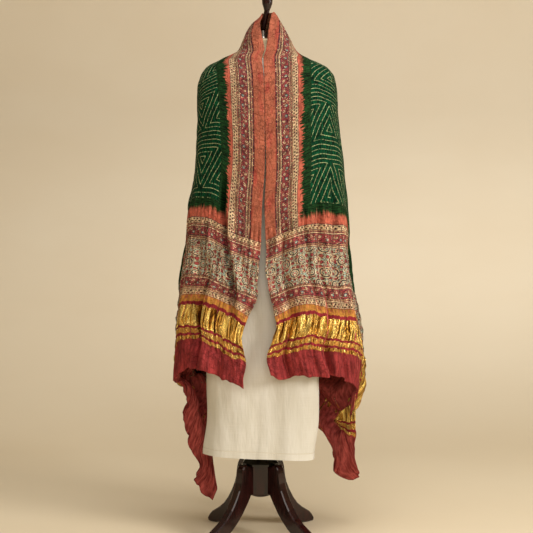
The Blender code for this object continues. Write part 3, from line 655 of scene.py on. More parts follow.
# Gilt stripes, by their middle and reach: the broad one is whole, and the narrow ones are broken.
GILT = {"broad": (1.0455, 0.0305), "narrow": ((1.0900, 0.0070), (1.1095, 0.0048)), "soft": 0.0006,
        "metal": 0.85}
ORANGE_WEFT = {"at": 0.9880, "reach": 0.0080, "soft": 0.0040}
# Noise drawn out one way: lumps a metre along each of the two measures it is given, and octaves. With a
# span, the two noise values become the two that follow them.
STREAKS = {
    "crimps": {"lumps": (60, 290), "detail": 3},
    "cross_crimps": {"lumps": (330, 45), "detail": 3},
    "teeth": {"lumps": (190, 26), "detail": 2, "span": (0.3, 0.7, -0.0075, 0.0075)},
    "end_teeth": {"lumps": (190, 16), "detail": 3, "span": (0.3, 0.7, -0.006, 0.006)},
    "bulges": {"lumps": (14, 10), "detail": 1, "span": (0.3, 0.7, -0.004, 0.004)},
    "stain": {"lumps": (16, 55), "detail": 5, "span": (0.52, 0.74, 0, 0.65)},
    "worn": {"lumps": (75, 75), "detail": 5, "span": (0.45, 0.72, 0.05, 0.42)},
    "pulled": {"lumps": (42, 7), "detail": 2, "span": (0.3, 0.7, -0.0036, 0.0036)},
    "tugged": {"lumps": (170, 30), "detail": 1, "span": (0.3, 0.7, -0.0013, 0.0013)},
    "weft": {"lumps": (240, 60), "detail": 3, "span": (0.50, 0.62, 0, 0.75)},
    "crushed": {"lumps": (150, 13), "detail": 3},
    "broken": {"lumps": (260, 70), "detail": 2, "span": (0.46, 0.54, 0, 1)},
    "creases": {"lumps": (42, 66), "detail": 4},
    "blotches": {"lumps": (26, 34), "detail": 4, "span": (0.25, 0.75, 0.74, 1.18)},
    "pale_warps": {"lumps": (130, 560), "detail": 1, "span": (0.25, 0.75, 0.88, 1.10)},
    "pale_wefts": {"lumps": (620, 120), "detail": 1, "span": (0.25, 0.75, 0.90, 1.08)},
    # Painted shade and highlight across the pleats of the ends.
    "painted_pleat_shade": {"lumps": (12, 105), "detail": 3, "span": (0.34, 0.58, 0.70, 1.22)},
    "mottle": {"lumps": (60, 80), "detail": 4, "span": (0.3, 0.7, 0, 1)},
    "pleats": {"lumps": (34, 170), "detail": 3},
    "wrinkles": {"lumps": (110, 26), "detail": 3},
    "cotton_warp": {"lumps": (620, 14), "detail": 2},
    "cotton_weft": {"lumps": (14, 620), "detail": 2},
    "cotton_hang": {"lumps": (26, 7), "detail": 3},
}
# Where a dye or a finish begins and ends: two values of the measure it follows, and what they become.
SPANS = {
    "sharp_crimps": (0.38, 0.60, 0, 1),
    "dark_dye_crimp_light_and_shade": (0.36, 0.64, 0, 1),
    "dark_dye": (0.0014, -0.0014, 0, 1),
    "bleed": (0, 0.020, 0.0100, 0.0009),
    "border": (0.0982, 0.0974, 0, 1),
    "deeper_border": (0.0290, 0.0300, 1, 0.80),
    "ends": (0.7576, 0.7584, 0, 1),
    "print_lines": (0.0300, 0.0310, 0, 1),
    "plain_panel": (0.0290, 0.0300, 1, 0),
    "petals": (0.2, 0.5, 0, 1),
    "gilt_ends": (0.9846, 0.9854, 0, 1),
    "lit_gold": (0.40, 0.66, 0, 1),
    "creased_gold": (0.44, 0.34, 0, 1),
    "gold_gloss": (0, 1, 0.68, 0.27),
    "creases": (0, 0.05, 0, 1),
    "crease_shade": (0, 1, 0.80, 1.03),
    "pleat_shade_area": (0.70, 0.75, 0, 1),
    "pleat_relief": (0.70, 0.76, 0, 0.0042),
    "plain_reverse": (0.85, 0.86, 0, 1),
    "cotton_shade": (0.60, 1.10, 0, 1),
    "cotton_hem": (0.0010, -0.0010, 0, 0.0016),
    "wood_grain": (0.35, 0.70, 0, 1),
    "wood_gloss": (0.3, 0.7, 0.16, 0.26),
    "nickel_gloss": (0.3, 0.7, 0.28, 0.42),
}
# How far the print fades into the ground on the reverse.
REVERSE_FADE = 0.35
COTTON = {"threads": 0.35, "seam": 0.0011, "seam_soft": 0.0010}
# Noise in a piece's own space: lumps a metre, in all directions or in each, and octaves.
GRAINS = {
    "jersey_ribs": {"lumps": 420.0, "detail": 2},
    # Pores some 4 mm apart across the piece, and ten times as long.
    "wood_pores": {"lumps": (260.0, 260.0, 22.0), "detail": 4},
    "brushed_rings": {"lumps": (20.0, 20.0, 2400.0), "detail": 2},
    "paper_mottle": {"lumps": 1.2, "detail": 3},
}
# How high each kind of relief stands, in metres.
RELIEF_HEIGHT = {"crimps": 0.0026, "creases": 0.0017, "cross_crimps": 0.0009, "wrinkles": 0.0064,
                 "ties": 0.0007, "gilt": 0.0075, "cotton_threads": 0.0003, "cotton_hang": 0.006,
                 "jersey": 0.0006, "wood": 0.00025}


def colour(hex_value):
    """An sRGB hex colour as linear light."""
    parts = [int(hex_value[i:i + 2], 16) / 255 for i in (1, 3, 5)]
    return (*[p / 12.92 if p <= 0.04045 else ((p + 0.055) / 1.055) ** 2.4 for p in parts], 1.0)


def join(value, socket):
    """Puts a value, a socket or a node's first output on an input."""
    if isinstance(value, bpy.types.Node):
        value = next(s for s in value.outputs if s.enabled)
    if isinstance(value, bpy.types.NodeSocket):
        socket.id_data.links.new(value, socket)
    else:
        socket.default_value = value


def add_node(tree, kind, feeds=(), **settings):
    """Adds a node: settings are its own, feeds go to its inputs by name, or else in order."""
    node = tree.nodes.new("ShaderNode" + kind)
    for name, value in settings.items():
        setattr(node, name, value)
    by_name = isinstance(feeds, dict)
    sockets = [node.inputs[name] for name in feeds] if by_name else [s for s in node.inputs if s.enabled]
    for value, socket in zip(feeds.values() if by_name else feeds, sockets):
        join(value, socket)
    return node


def new_material(name):
    """A material, its one shader, and what adds a node to it."""
    made = bpy.data.materials.new(name)
    made.use_nodes = True
    return made, made.node_tree.nodes["Principled BSDF"], functools.partial(add_node, made.node_tree)


def finish_surface(add, surface, feeds, relief=None, strength=1.0):
    """Puts values or nodes on the shader's sockets, and the relief, a height in metres, on its normal."""
    if relief is not None:
        bump = add("Bump", {"Height": relief, "Strength": strength, "Distance": 1.0})
        feeds = {**feeds, "Normal": bump}
    for name, value in feeds.items():
        join(value, surface.inputs[name])


def near(add, place, reach, soft, at=0.0):
    """1 where the place is within reach of a value, with a soft edge."""
    if at:
        place = add("Math", (place, at), operation="SUBTRACT")
    size = add("Math", (place,), operation="ABSOLUTE")
    return add("MapRange", (size, reach + soft, reach - soft, 0.0, 1.0), interpolation_type="SMOOTHSTEP")


def repeated(add, along, pitch, offset=0.0):
    """The distance from the middle of the nearest repeat."""
    moved = add("Math", (along, offset), operation="SUBTRACT")
    return add("Math", (moved, pitch / 2, -pitch / 2), operation="WRAP")


def distance(add, x, y):
    """How far a place is from x = y = 0."""
    return add("VectorMath", (add("CombineXYZ", (x, y)),), operation="LENGTH").outputs["Value"]


def streaks(add, first, second, name):
    """Noise drawn out along the cloth or across it, as its row in the table says."""
    row = STREAKS[name]
    scaled = [add("Math", (place, lumps), operation="MULTIPLY")
              for place, lumps in zip((first, second), row["lumps"])]
    noise = add("TexNoise", {"Vector": add("CombineXYZ", scaled), "Scale": 1.0, "Detail": row["detail"]},
                noise_dimensions="2D")
    return add("MapRange", (noise, *row["span"])) if "span" in row else noise


def striped(add, place, start, end, bands):
    """Stripes of a table of bands, each from its own place on."""
    ramp = add("ValToRGB", (add("MapRange", (place, start, end, 0.0, 1.0)),))
    ramp.color_ramp.interpolation = "CONSTANT"
    marks = ramp.color_ramp.elements
    while len(marks) < len(bands):
        marks.new(0.5)
    for mark, band in zip(marks, bands):
        mark.position = (band["from"] - start) / (end - start)
    for mark, band in zip(marks, bands):
        mark.color = colour(INKS[band["ink"]])
    return ramp


def layered(add, base, *layers):
    """Lays inks, or other colours, over the base one by one, each where its mask is 1."""
    for over, mask in layers:
        over = colour(INKS[over]) if isinstance(over, str) else over
        base = add("Mix", (mask, base, over), data_type="RGBA")
    return base


def shaded(add, base, *shades):
    """The base made darker or lighter by each shade."""
    for shade in shades:
        base = add("Mix", (1.0, base, shade), data_type="RGBA", blend_type="MULTIPLY")
    return base


def printed(add, base, places, layers):
    """Prints a table of layers over the base."""
    for layer in layers:
        mask = places[layer["from"]]
        if "reach" in layer:
            mask = near(add, mask, layer["reach"], layer["soft"], layer.get("at", 0.0))
        base = layered(add, base, (layer["ink"], mask))
    return base


def flower_row(add, base, along, across, sway):
    """A printed row of blossoms on a wavy stem, with buds and leaves between, drawn over the base colour."""
    pitch = FLOWER["pitch"]
    place, half_place = repeated(add, along, pitch), repeated(add, along, pitch, pitch / 2)
    turn = add("Math", (along, 2 * math.pi / pitch), operation="MULTIPLY")
    wave = add("Math", (turn,), operation="COSINE")
    over, under = (add("Math", (across, sway * FLOWER["beside"]), operation=way) for way in ("ADD", "SUBTRACT"))
    leaves = add("TexVoronoi", {"Vector": add("CombineXYZ", (along, across)), "Scale": 1 / FLOWER["leaves"],
                                "Randomness": FLOWER["uneven"]}, voronoi_dimensions="2D")
    return printed(add, base, {
        "leaf": leaves.outputs["Distance"],
        "stem": add("Math", (wave, sway * FLOWER["stem_sway"], across), operation="MULTIPLY_ADD"),
        "bud": distance(add, half_place, over),
        "blossom": distance(add, place, under),
    }, FLOWER_INKS)


def dotted_row(add, base, along, across, row):
    """Two staggered lines of dark dots, drawn over the base colour."""
    for step, offset in ((row["apart"], 0.0), (-row["apart"], row["pitch"] / 2)):
        moved = add("Math", (across, step), operation="SUBTRACT")
        far = distance(add, repeated(add, along, row["pitch"], offset), moved)
        base = layered(add, base, ("black", near(add, far, row["radius"], row["radius"] * DOT_SOFTNESS)))
    return base


def block_rows(add, base, along, across, rows):
    """All rows of flowers and dots that a table sets across the base."""
    for row in rows:
        place = add("Math", (across, row["middle"]), operation="SUBTRACT")
        if "sway" in row:
            flowers = flower_row(add, base, along, place, row["sway"])
            base = layered(add, base, (flowers, near(add, place, row["reach"], FLOWER["edge"])))
        else:
            base = dotted_row(add, base, along, place, row)
    return base


def mint_field(add, base, away, t):
    """Block print on the mint ground: crowded red buds with dark and cream outlines, twigs between them,
    and large ringed rosettes in staggered rows."""
    place = add("CombineXYZ", (t, away))
    places = {}
    for name, cell in MINT_CELLS.items():
        feeds = {"Vector": place, "Scale": 1 / cell["size"], "Randomness": cell["uneven"]}
        shape = add("TexVoronoi", feeds, voronoi_dimensions="2D", feature=cell.get("feature", "F1"))
        places[name] = shape.outputs["Distance"]
    pitch, row_pitch = ROSETTE["pitch"], ROSETTE["row"]
    down = add("Math", (away, ROSETTE["first_row"]), operation="SUBTRACT")
    row = add("Math", (down, 1 / row_pitch, 0.5), operation="MULTIPLY_ADD")
    row = add("Math", (row,), operation="FLOOR")
    odd = add("Math", (row, 2.0), operation="MODULO")
    odd = add("Math", (odd,), operation="ABSOLUTE")
    staggered = add("Math", (odd, pitch / 2, t), operation="MULTIPLY_ADD")
    rosette_x = repeated(add, staggered, pitch, ROSETTE["beside"])
    rosette_y = repeated(add, down, row_pitch)
    far = distance(add, rosette_x, rosette_y)
    turn = add("Math", (rosette_y, rosette_x), operation="ARCTAN2")
    petals = add("Math", (add("Math", (turn, ROSETTE["petals"]), operation="MULTIPLY"),), operation="COSINE")
    ring = near(add, far, ROSETTE["petal_reach"], ROSETTE["soft"], ROSETTE["petal_ring"])
    petals = add("Math", (ring, petals), operation="MULTIPLY")
    places |= {"rosette": far, "petals": add("MapRange", (petals, *SPANS["petals"]))}
    field = printed(add, base, places, MINT_INKS)
    return layered(add, base, (field, near(add, away, **MINT_AREA)))


def tied_field(add, flat, away, s, t):
    """The lines of tied dots: nested triangles that point up and down in turn, and plain rows between."""
    width, tall, line = TRIANGLE["width"], TRIANGLE["height"], TRIANGLE["line"]
    begin, apex = (add("MapRange", (s, *NAPE, place["left"], place["right"]))
                   for place in (ROWS_BEGIN, APEX_AT))
    down = add("Math", (away, begin), operation="SUBTRACT")
    in_row = add("Math", (down, TRIANGLE["row"], 0.0), operation="WRAP")
    from_apex = add("Math", (t, apex), operation="SUBTRACT")
    sideways = add("Math", (from_apex, width / 2), operation="PINGPONG")
    sideways = add("Math", (sideways, -1.0), operation="MULTIPLY")
    slope = width / 2 / tall
    flank = add("Math", (in_row, slope, sideways), operation="MULTIPLY_ADD")
    flank = add("Math", (flank, math.cos(math.atan(slope))), operation="MULTIPLY")
    points_up = add("Math", (flank, 0.0), operation="GREATER_THAN")
    to_foot = add("Math", (tall, in_row), operation="SUBTRACT")
    foot = add("Mix", (points_up, in_row, to_foot), data_type="FLOAT")
    depth = add("Math", (add("Math", (flank,), operation="ABSOLUTE"), foot), operation="MINIMUM")
    between = add("Math", (in_row, tall), operation="SUBTRACT")
    nested = add("Math", (depth, between), operation="MAXIMUM")
    at_nape = add("Math", (away, TIE["straight"] * line), operation="LESS_THAN")
    nested = add("Mix", (at_nape, nested, away), data_type="FLOAT")
    lines = near(add, repeated(add, nested, line, line / 2), TIE["line"], TIE["line_soft"])
    ties = add("TexVoronoi", {"Vector": flat, "Scale": 1 / TIE["apart"], "Randomness": TIE["uneven"]},
               voronoi_dimensions="2D")
    knots = near(add, ties.outputs["Distance"], TIE["reach"], TIE["soft"])
    return add("Math", (lines, knots), operation="MULTIPLY")


def dyed_silk(add, flat, s, t, away, inside):
    """The green field with its ties, and the dark and the coral dye round it. Returns the tone, and the
    crimps, the cross crimps and the ties, which also stand in relief."""
    # Crimps run along the cloth in the field and the end bands, and across it in the dark dye. Their hollows
    # are painted in a near-black ink and their ridges in a brighter one: painted shade and highlight over their
    # relief.
    crimps, cross_crimps = (streaks(add, s, t, name) for name in ("crimps", "cross_crimps"))
    ties = tied_field(add, flat, away, s, t)
    sharp = add("MapRange", (crimps, *SPANS["sharp_crimps"]))
    tone = layered(add, colour(INKS["green_painted_crimp_shade"]), ("green", sharp))

    # Dye edges: teeth some 5 mm apart that reach some 10 mm across the edge, over slower bulges.
    side_in = add("Math", (inside, DYE["side"]), operation="SUBTRACT")
    side_dye = add("Math", (side_in, streaks(add, s, t, "teeth")), operation="ADD")
    end_in = add("Math", (DYE["end"], away), operation="SUBTRACT")
    end_dye = add("Math", (end_in, streaks(add, t, s, "end_teeth")), operation="ADD")
    dye = add("Math", (side_dye, end_dye), operation="MINIMUM")
    dye = add("Math", (dye, streaks(add, s, t, "bulges")), operation="ADD")
    side_plain = add("Math", (inside, DYE["side"] + DYE["dark"]), operation="SUBTRACT")
    end_plain = add("Math", (end_dye, DYE["dark"]), operation="SUBTRACT")
    plain_edge = add("Math", (side_plain, end_plain), operation="MINIMUM")
    in_dark = add("MapRange", (plain_edge, *SPANS["dark_dye"]), interpolation_type="SMOOTHSTEP")
    # At the end the dark dye bleeds out over some 10 mm; along the border it stops short.
    bleed = add("MapRange", (end_dye, *SPANS["bleed"]))
    bleed_out = add("Math", (bleed, -1.0), operation="MULTIPLY")
    in_coral = add("MapRange", (dye, bleed, bleed_out, 0.0, 1.0), interpolation_type="SMOOTHSTEP")
    in_coral = add("Math", (in_coral, DYE["bleed_power"]), operation="POWER")
    # In the dark dye the cross crimps get painted shade in their hollows and a painted highlight on their
    # ridges.
    dark_tone = layered(add, colour(INKS["olive_painted_crimp_shade"]),
                        ("olive", add("MapRange", (cross_crimps, *SPANS["dark_dye_crimp_light_and_shade"]))))
    tied = add("Math", (ties, add("Math", (1.0, in_dark), operation="SUBTRACT")), operation="MULTIPLY")
    tone = layered(add, tone, ("tied_dots", tied), (dark_tone, in_dark), ("coral", in_coral))
    return tone, crimps, cross_crimps, ties


def block_print(add, tone, flat, s, t, away, inside):
    """The printed border and cross bands over the dyes, with specks, the stain and the wear. Returns the
    tone, and where the plain salmon strip at the edge lies."""
    # The border took the dark dyes more deeply.
    border = block_rows(add, striped(add, inside, *BANDS_OVER["border"], BORDER_BANDS), s, inside, BORDER_ROWS)
    border = shaded(add, border, add("MapRange", (inside, *SPANS["deeper_border"])))
    on_border = add("MapRange", (inside, *SPANS["border"]))
    ends = block_rows(add, striped(add, away, *BANDS_OVER["ends"], PRINTED_BANDS), t, away, END_ROWS)
    ends = mint_field(add, ends, away, t)
    at_end = add("MapRange", (away, *SPANS["ends"]))
    tone = layered(add, tone, (border, on_border), (ends, at_end))

    # Between the lines the blocks leave specks of the dark and the pale dye.
    specks = add("TexVoronoi", {"Vector": flat, "Scale": 1 / SPECKS["size"], "Randomness": SPECKS["uneven"]},
                 voronoi_dimensions="2D")
    chosen = add("SeparateColor", (specks.outputs["Color"],))
    speck = near(add, specks.outputs["Distance"], SPECKS["reach"], SPECKS["soft"])
    print_lines = add("MapRange", (inside, *SPANS["print_lines"]))
    on_lines = add("Math", (on_border, print_lines), operation="MULTIPLY")
    on_lines = add("Math", (on_lines, at_end), operation="MAXIMUM")
    for channel, ink, share in SPECKS["inks"]:
        mask = add("Math", (chosen.outputs[channel], share), operation="LESS_THAN")
        mask = add("Math", (mask, speck), operation="MULTIPLY")
        mask = add("Math", (mask, on_lines), operation="MULTIPLY")
        tone = layered(add, tone, (ink, mask))
    on_salmon = add("Math", (1.0, print_lines), operation="SUBTRACT")
    stain = add("Math", (streaks(add, s, t, "stain"), on_salmon), operation="MULTIPLY")

    # The print is worn: the ground shows through it in soft patches.
    on_print = add("Math", (on_border, at_end), operation="MAXIMUM")
    worn = add("Math", (streaks(add, s, t, "worn"), on_print), operation="MULTIPLY")
    on_panel = add("Math", (1.0, at_end), operation="SUBTRACT")
    on_panel = add("Math", (add("MapRange", (inside, *SPANS["plain_panel"])), on_panel), operation="MULTIPLY")
    worn = add("Math", (worn, add("Math", (1.0, on_panel), operation="SUBTRACT")), operation="MULTIPLY")
    return layered(add, tone, ("salmon_stain", stain), ("worn", worn)), on_salmon


def gilt_bands(add, tone, s, t, away):
    """The gilt bands, broken in the narrow stripes, with a painted highlight on the crushed ridges and painted
    shade in their creases. Returns the tone, where the gilt lies, and its ridges."""
    run = add("Math", (streaks(add, t, s, "pulled"), streaks(add, t, s, "tugged")), operation="ADD")
    run = add("Math", (away, run), operation="ADD")
    in_weft = add("Math", (streaks(add, t, s, "weft"), near(add, away, **ORANGE_WEFT)), operation="MULTIPLY")
    stripes = striped(add, run, *BANDS_OVER["gilt"], GILT_BANDS)
    tone = layered(add, tone, (stripes, add("MapRange", (away, *SPANS["gilt_ends"]))), ("coral", in_weft))
    crushed, broken = (streaks(add, t, s, name) for name in ("crushed", "broken"))
    middle, reach = GILT["broad"]
    gilt = near(add, run, reach, GILT["soft"], middle)
    for middle, reach in GILT["narrow"]:
        stripe = add("Math", (near(add, run, reach, GILT["soft"], middle), broken), operation="MULTIPLY")
        gilt = add("Math", (gilt, stripe), operation="MAXIMUM")
    # Painted highlight on the ridges and painted shade in the creases of the crushed gold.
    lit = add("MapRange", (crushed, *SPANS["lit_gold"]))
    creased = add("MapRange", (crushed, *SPANS["creased_gold"]), interpolation_type="SMOOTHSTEP")
    gold = layered(add, colour(INKS["gold"]), ("gold_light", lit), ("gold_crease", creased))
    return layered(add, tone, (gold, gilt)), gilt, crushed


def uneven_dye_and_painted_shade(add, tone, s, t, away):
    """Slow blotches and threads that took less dye, painted shade along the creases, and painted shade and
    highlight in the tight pleats of the ends. Returns the tone and the creases."""
    creases = add("Math", (streaks(add, s, t, "creases"), 0.5), operation="SUBTRACT")
    creases = add("Math", (creases,), operation="ABSOLUTE")
    creases = add("MapRange", (creases, *SPANS["creases"]))
    # Painted shade: the tone is darker along the creases, over their relief; the blotches and pale threads are
    # uneven dye.
    tone = shaded(add, tone, add("MapRange", (creases, *SPANS["crease_shade"])),
                  *[streaks(add, s, t, name) for name in ("blotches", "pale_warps", "pale_wefts")])
    # Painted shade and highlight across the tight pleats of the ends.
    painted_pleat_shade = shaded(add, tone, streaks(add, s, t, "painted_pleat_shade"))
    return layered(add, tone, (painted_pleat_shade, add("MapRange", (away, *SPANS["pleat_shade_area"])))), creases


def bandhani_silk(reverse=False):
    """Bandhani silk: thin plain-woven silk, tied and dyed, so the ties leave pale dots and a fine crimp,
    and the dye creeps in teeth at its edges. Printed borders, and bands of gilt thread that shine. On the
    reverse the print is fainter, and the ends are plain maroon, because the gilt floats on the face."""
    made, surface, add = new_material("bandhani_silk_reverse" if reverse else "bandhani_silk")
    flat = add("UVMap", uv_map="flat_cloth")
    parts = add("SeparateXYZ", (flat,))
    s, t = parts.outputs["X"], parts.outputs["Y"]
    away = add("Math", (s,), operation="ABSOLUTE")
    far_edge = add("Math", (WIDTH, t), operation="SUBTRACT")
    inside = add("Math", (t, far_edge), operation="MINIMUM")

    tone, crimps, cross_crimps, ties = dyed_silk(add, flat, s, t, away, inside)
    tone, on_salmon = block_print(add, tone, flat, s, t, away, inside)
    tone, gilt, crushed = gilt_bands(add, tone, s, t, away)
    tone, creases = uneven_dye_and_painted_shade(add, tone, s, t, away)
    if reverse:
        # The reverse's maroon is painted far lighter than the face's, as painted light on the tails, and
        # mottled.
        maroon = layered(add, colour(INKS["deep_maroon_painted_light"]), ("maroon_reverse", streaks(add, s, t, "mottle")))
        plain = add("MapRange", (away, *SPANS["plain_reverse"]))
        tone = layered(add, tone, ("tan", REVERSE_FADE), (maroon, plain))

    # Relief: the crimp in creases some 3 mm apart, a small peak at each tie, sharp ridges in the gold.
    high = RELIEF_HEIGHT
    height = 0.0
    for relief, depth in (
        (crimps, high["crimps"]), (creases, high["creases"]),
        (streaks(add, s, t, "pleats"), add("MapRange", (away, *SPANS["pleat_relief"]))),
        (cross_crimps, high["cross_crimps"]),
        (streaks(add, s, t, "wrinkles"), add("Math", (on_salmon, high["wrinkles"]), operation="MULTIPLY")),
        (ties, high["ties"]),
    ):
        height = add("Math", (relief, depth, height), operation="MULTIPLY_ADD")
    feeds = {"Base Color": tone, "Roughness": 0.68, "IOR": 1.5, "Specular IOR Level": 0.08}
    if not reverse:
        ridges = add("Math", (crushed, high["gilt"]), operation="MULTIPLY")
        height = add("Math", (ridges, gilt, height), operation="MULTIPLY_ADD")
        feeds["Metallic"] = add("Math", (gilt, GILT["metal"]), operation="MULTIPLY")
        feeds["Roughness"] = add("MapRange", (gilt, *SPANS["gold_gloss"]))
    finish_surface(add, surface, feeds, height, strength=0.9)
    return made


def cotton_voile():
    """Bleached cream cotton: a plain weave with slubs, matt, with the threads just showing, and a turned hem
    that is twice as thick and sewn along its upper edge."""
    made, surface, add = new_material("cream_cotton")
    parts = add("SeparateXYZ", (add("TexCoord").outputs["Object"],))
    x, z = parts.outputs["X"], parts.outputs["Z"]
    # Threads are about 0.4 mm apart; they are drawn 1.6 mm apart so that they show.
    warp, weft, soft = (streaks(add, x, z, name) for name in ("cotton_warp", "cotton_weft", "cotton_hang"))
    threads = add("Math", (warp, weft), operation="ADD")
    shade = add("Math", (threads, COTTON["threads"], soft), operation="MULTIPLY_ADD")
    shade = add("MapRange", (shade, *SPANS["cotton_shade"]))
    hem_line = add("Math", (x, HEM_SLOPE, z), operation="MULTIPLY_ADD")
    from_hem = add("Math", (hem_line, SHIFT_HEM + TURNED_HEM), operation="SUBTRACT")
    tone = layered(add, colour("#C9C5B8"), (colour("#D3D0C6"), shade),
                   (colour("#C2B9A5"), near(add, from_hem, COTTON["seam"], COTTON["seam_soft"])))
    height = add("MapRange", (from_hem, *SPANS["cotton_hem"]))
    for relief, kind in ((threads, "cotton_threads"), (soft, "cotton_hang")):
        height = add("Math", (relief, RELIEF_HEIGHT[kind], height), operation="MULTIPLY_ADD")
    feeds = {"Base Color": tone, "Roughness": 0.9, "IOR": 1.5, "Sheen Weight": 0.08}
    finish_surface(add, surface, feeds, height, strength=0.8)
    return made


def grained(add, name):
    """Noise in the piece's own space, drawn out where a direction is given fewer lumps."""
    where, scale = add("TexCoord").outputs["Object"], GRAINS[name]["lumps"]
    if isinstance(scale, tuple):
        where, scale = add("VectorMath", (where, scale), operation="MULTIPLY"), 1.0
    return add("TexNoise", {"Vector": where, "Scale": scale, "Detail": GRAINS[name]["detail"]})


def form_jersey():
    """The form's cover: unbleached knitted cotton, matt and finely ribbed."""
    made, surface, add = new_material("form_cover")
    ribs = grained(add, "jersey_ribs")
    tone = layered(add, colour("#BFA884"), (colour("#DCCBA8"), ribs))
    height = add("Math", (ribs, RELIEF_HEIGHT["jersey"]), operation="MULTIPLY")
    finish_surface(add, surface, {"Base Color": tone, "Roughness": 0.85}, height, strength=0.7)
    return made


def varnished_wood(name, dark, light):
    """Mahogany stained nearly black and varnished: a clear hard gloss over fine dark red grain."""
    made, surface, add = new_material(name)
    grain = grained(add, "wood_pores")
    tone = layered(add, colour(dark), (colour(light), add("MapRange", (grain, *SPANS["wood_grain"]))))
    feeds = {
        "Base Color": tone,
        "Roughness": add("MapRange", (grain, *SPANS["wood_gloss"])),
        "IOR": 1.5,
        "Specular IOR Level": 0.35,
        "Coat Weight": 0.25,
        "Coat Roughness": 0.08,
    }
    height = add("Math", (grain, RELIEF_HEIGHT["wood"]), operation="MULTIPLY")
    finish_surface(add, surface, feeds, height, strength=0.5)
    return made


def brushed_nickel():
    """Nickel-plated steel, turned and brushed: pale grey metal with fine rings round it."""
    made, surface, add = new_material("ferrule_metal")
    brushed = grained(add, "brushed_rings")
    finish_surface(add, surface, {
        "Base Color": layered(add, colour("#9A948C"), (colour("#CFC9C0"), brushed)),
        "Metallic": 1.0,
        "Roughness": add("MapRange", (brushed, *SPANS["nickel_gloss"])),
    })
    return made


def studio_paper():
    """Matt beige background paper, with the faintest mottle."""
    made, surface, add = new_material("studio_paper")
    tone = layered(add, colour("#DCCBAC"), (colour("#E2D4B8"), grained(add, "paper_mottle")))
    finish_surface(add, surface, {"Base Color": tone, "Roughness": 0.95})
    return made


# ---- pieces

def silk_reverse(points, s_all, ts, flip):
    """The inner face of the cloth, a little inside the outer one, with the reverse of its dye and print."""
    rows, columns = (sorted({*range(0, len(line), 2), len(line) - 1}) for line in (s_all, ts))
    inner = (points - flip * REVERSE_INSET * grid_normals(points))[np.ix_(rows, columns)]
    uv = np.stack(np.meshgrid(s_all[rows], ts[columns], indexing="ij"), axis=-1).reshape(-1, 2)
    return shown("silk_reverse", inner.reshape(-1, 3), grid_faces(*inner.shape[:2]),
                 bandhani_silk(reverse=True), uv=uv)


def turned_edge(silk):
    """The right tail's edge, turned over in a crushed wedge."""
    edge = TURNED_EDGE
    x = np.linspace(edge["x"][0], edge["x"][-1], edge["columns"])[:, None]
    v = np.linspace(0, 1, edge["rows"])[None, :]
    y, top, bottom = (monotone(edge["x"], edge[name], x) for name in ("y", "top", "bottom"))
    lumps, pleats = edge["lumps"], edge["pleats"]
    crushed = (lumps["height"] * uneven(x / lumps["x"], v / lumps["v"], lumps["seed"])
               + pleats["height"] * np.cos(2 * np.pi * (v * pleats["count"] + x / pleats["x"])))
    verts = np.stack(np.broadcast_arrays(x, y + crushed, top + (bottom - top) * v), axis=-1)
    part = (x - x[0]) / (x[-1] - x[0])
    uv = np.stack(np.broadcast_arrays(*[start + (end - start) * share for (start, end), share in (
        (edge["s"], v), (edge["t"], part))]), axis=-1)
    return shown("silk_turned_edge", verts.reshape(-1, 3), grid_faces(*verts.shape[:2]), silk,
                 uv=uv.reshape(-1, 2))


def silk_cloth():
    points, s_all, ts, flip = draped_surface()
    reverse = silk_reverse(points, s_all, ts, flip)
    points, s_grid, t_grid = rolled_edges(points, s_all, ts, flip)
    uv = np.stack([s_grid, t_grid], axis=-1).reshape(-1, 2)
    silk = bandhani_silk()
    cloth = shown("silk_cloth", points.reshape(-1, 3), grid_faces(*points.shape[:2]), silk, uv=uv)
    turned_over = turned_edge(silk)
    for face in (cloth, reverse, turned_over):
        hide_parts("draped_cloth")


def cotton_shift():
    rings = []
    for inset in (0.0, SHIFT_THICKNESS):
        for h in steps(*SHIFT_RUNS):
            ring = figure_ring(h, inset)
            outward = unit((ring - np.array([HEM_HANG["middle"], 0.0, 0.0])) * (1, 1, 0))
            ripple = sum(wave["depth"] * uneven(SHIFT_TURNS / wave["turn"], h / wave["height"], wave["seed"])
                         for wave in RIPPLES)
            ring = ring + outward * (ripple * (1 - float(eased(h, *RIPPLES_FADE))))[:, None]
            low = 1 - float(eased(h, SHIFT_HEM, HEM_HANG["below"]))
            ring[:, 0] -= HEM_HANG["aside"] * low ** 2
            wave = uneven(SHIFT_TURNS / HEM_HANG["turn"], 0.5, HEM_HANG["seed"])
            ring[:, 2] += HEM_HANG["wave"] * low ** 4 * wave
            rings.append(ring)
    columns, rows = SHIFT_COLUMNS, len(rings) // 2
    inside = rows * columns
    faces = grid_faces(rows, columns, closed=True)
    faces += [[v + inside for v in face[::-1]] for face in faces]
    for k in (0, inside - columns):
        for i in range(columns):
            a, b = k + i, k + (i + 1) % columns
            faces.append([a, b, b + inside, a + inside])
    shift = shown("cotton_shift", np.concatenate(rings), faces, cotton_voile(), smooth_angle=60)
    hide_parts("cream_shift")


# The studio's floor and wall as seen from the side: a flat foot, a slow bend, a steep one and the wall's top.
SWEEP = {"flat": (0.0, 0.4, 1.3), "slow_radius": 9.0, "slow_turns": np.arange(2.5, 35.1, 2.5),
         "steep_radius": 2.5, "steep_turns": np.arange(40, 91, 5), "top": 5.0, "columns": 96}
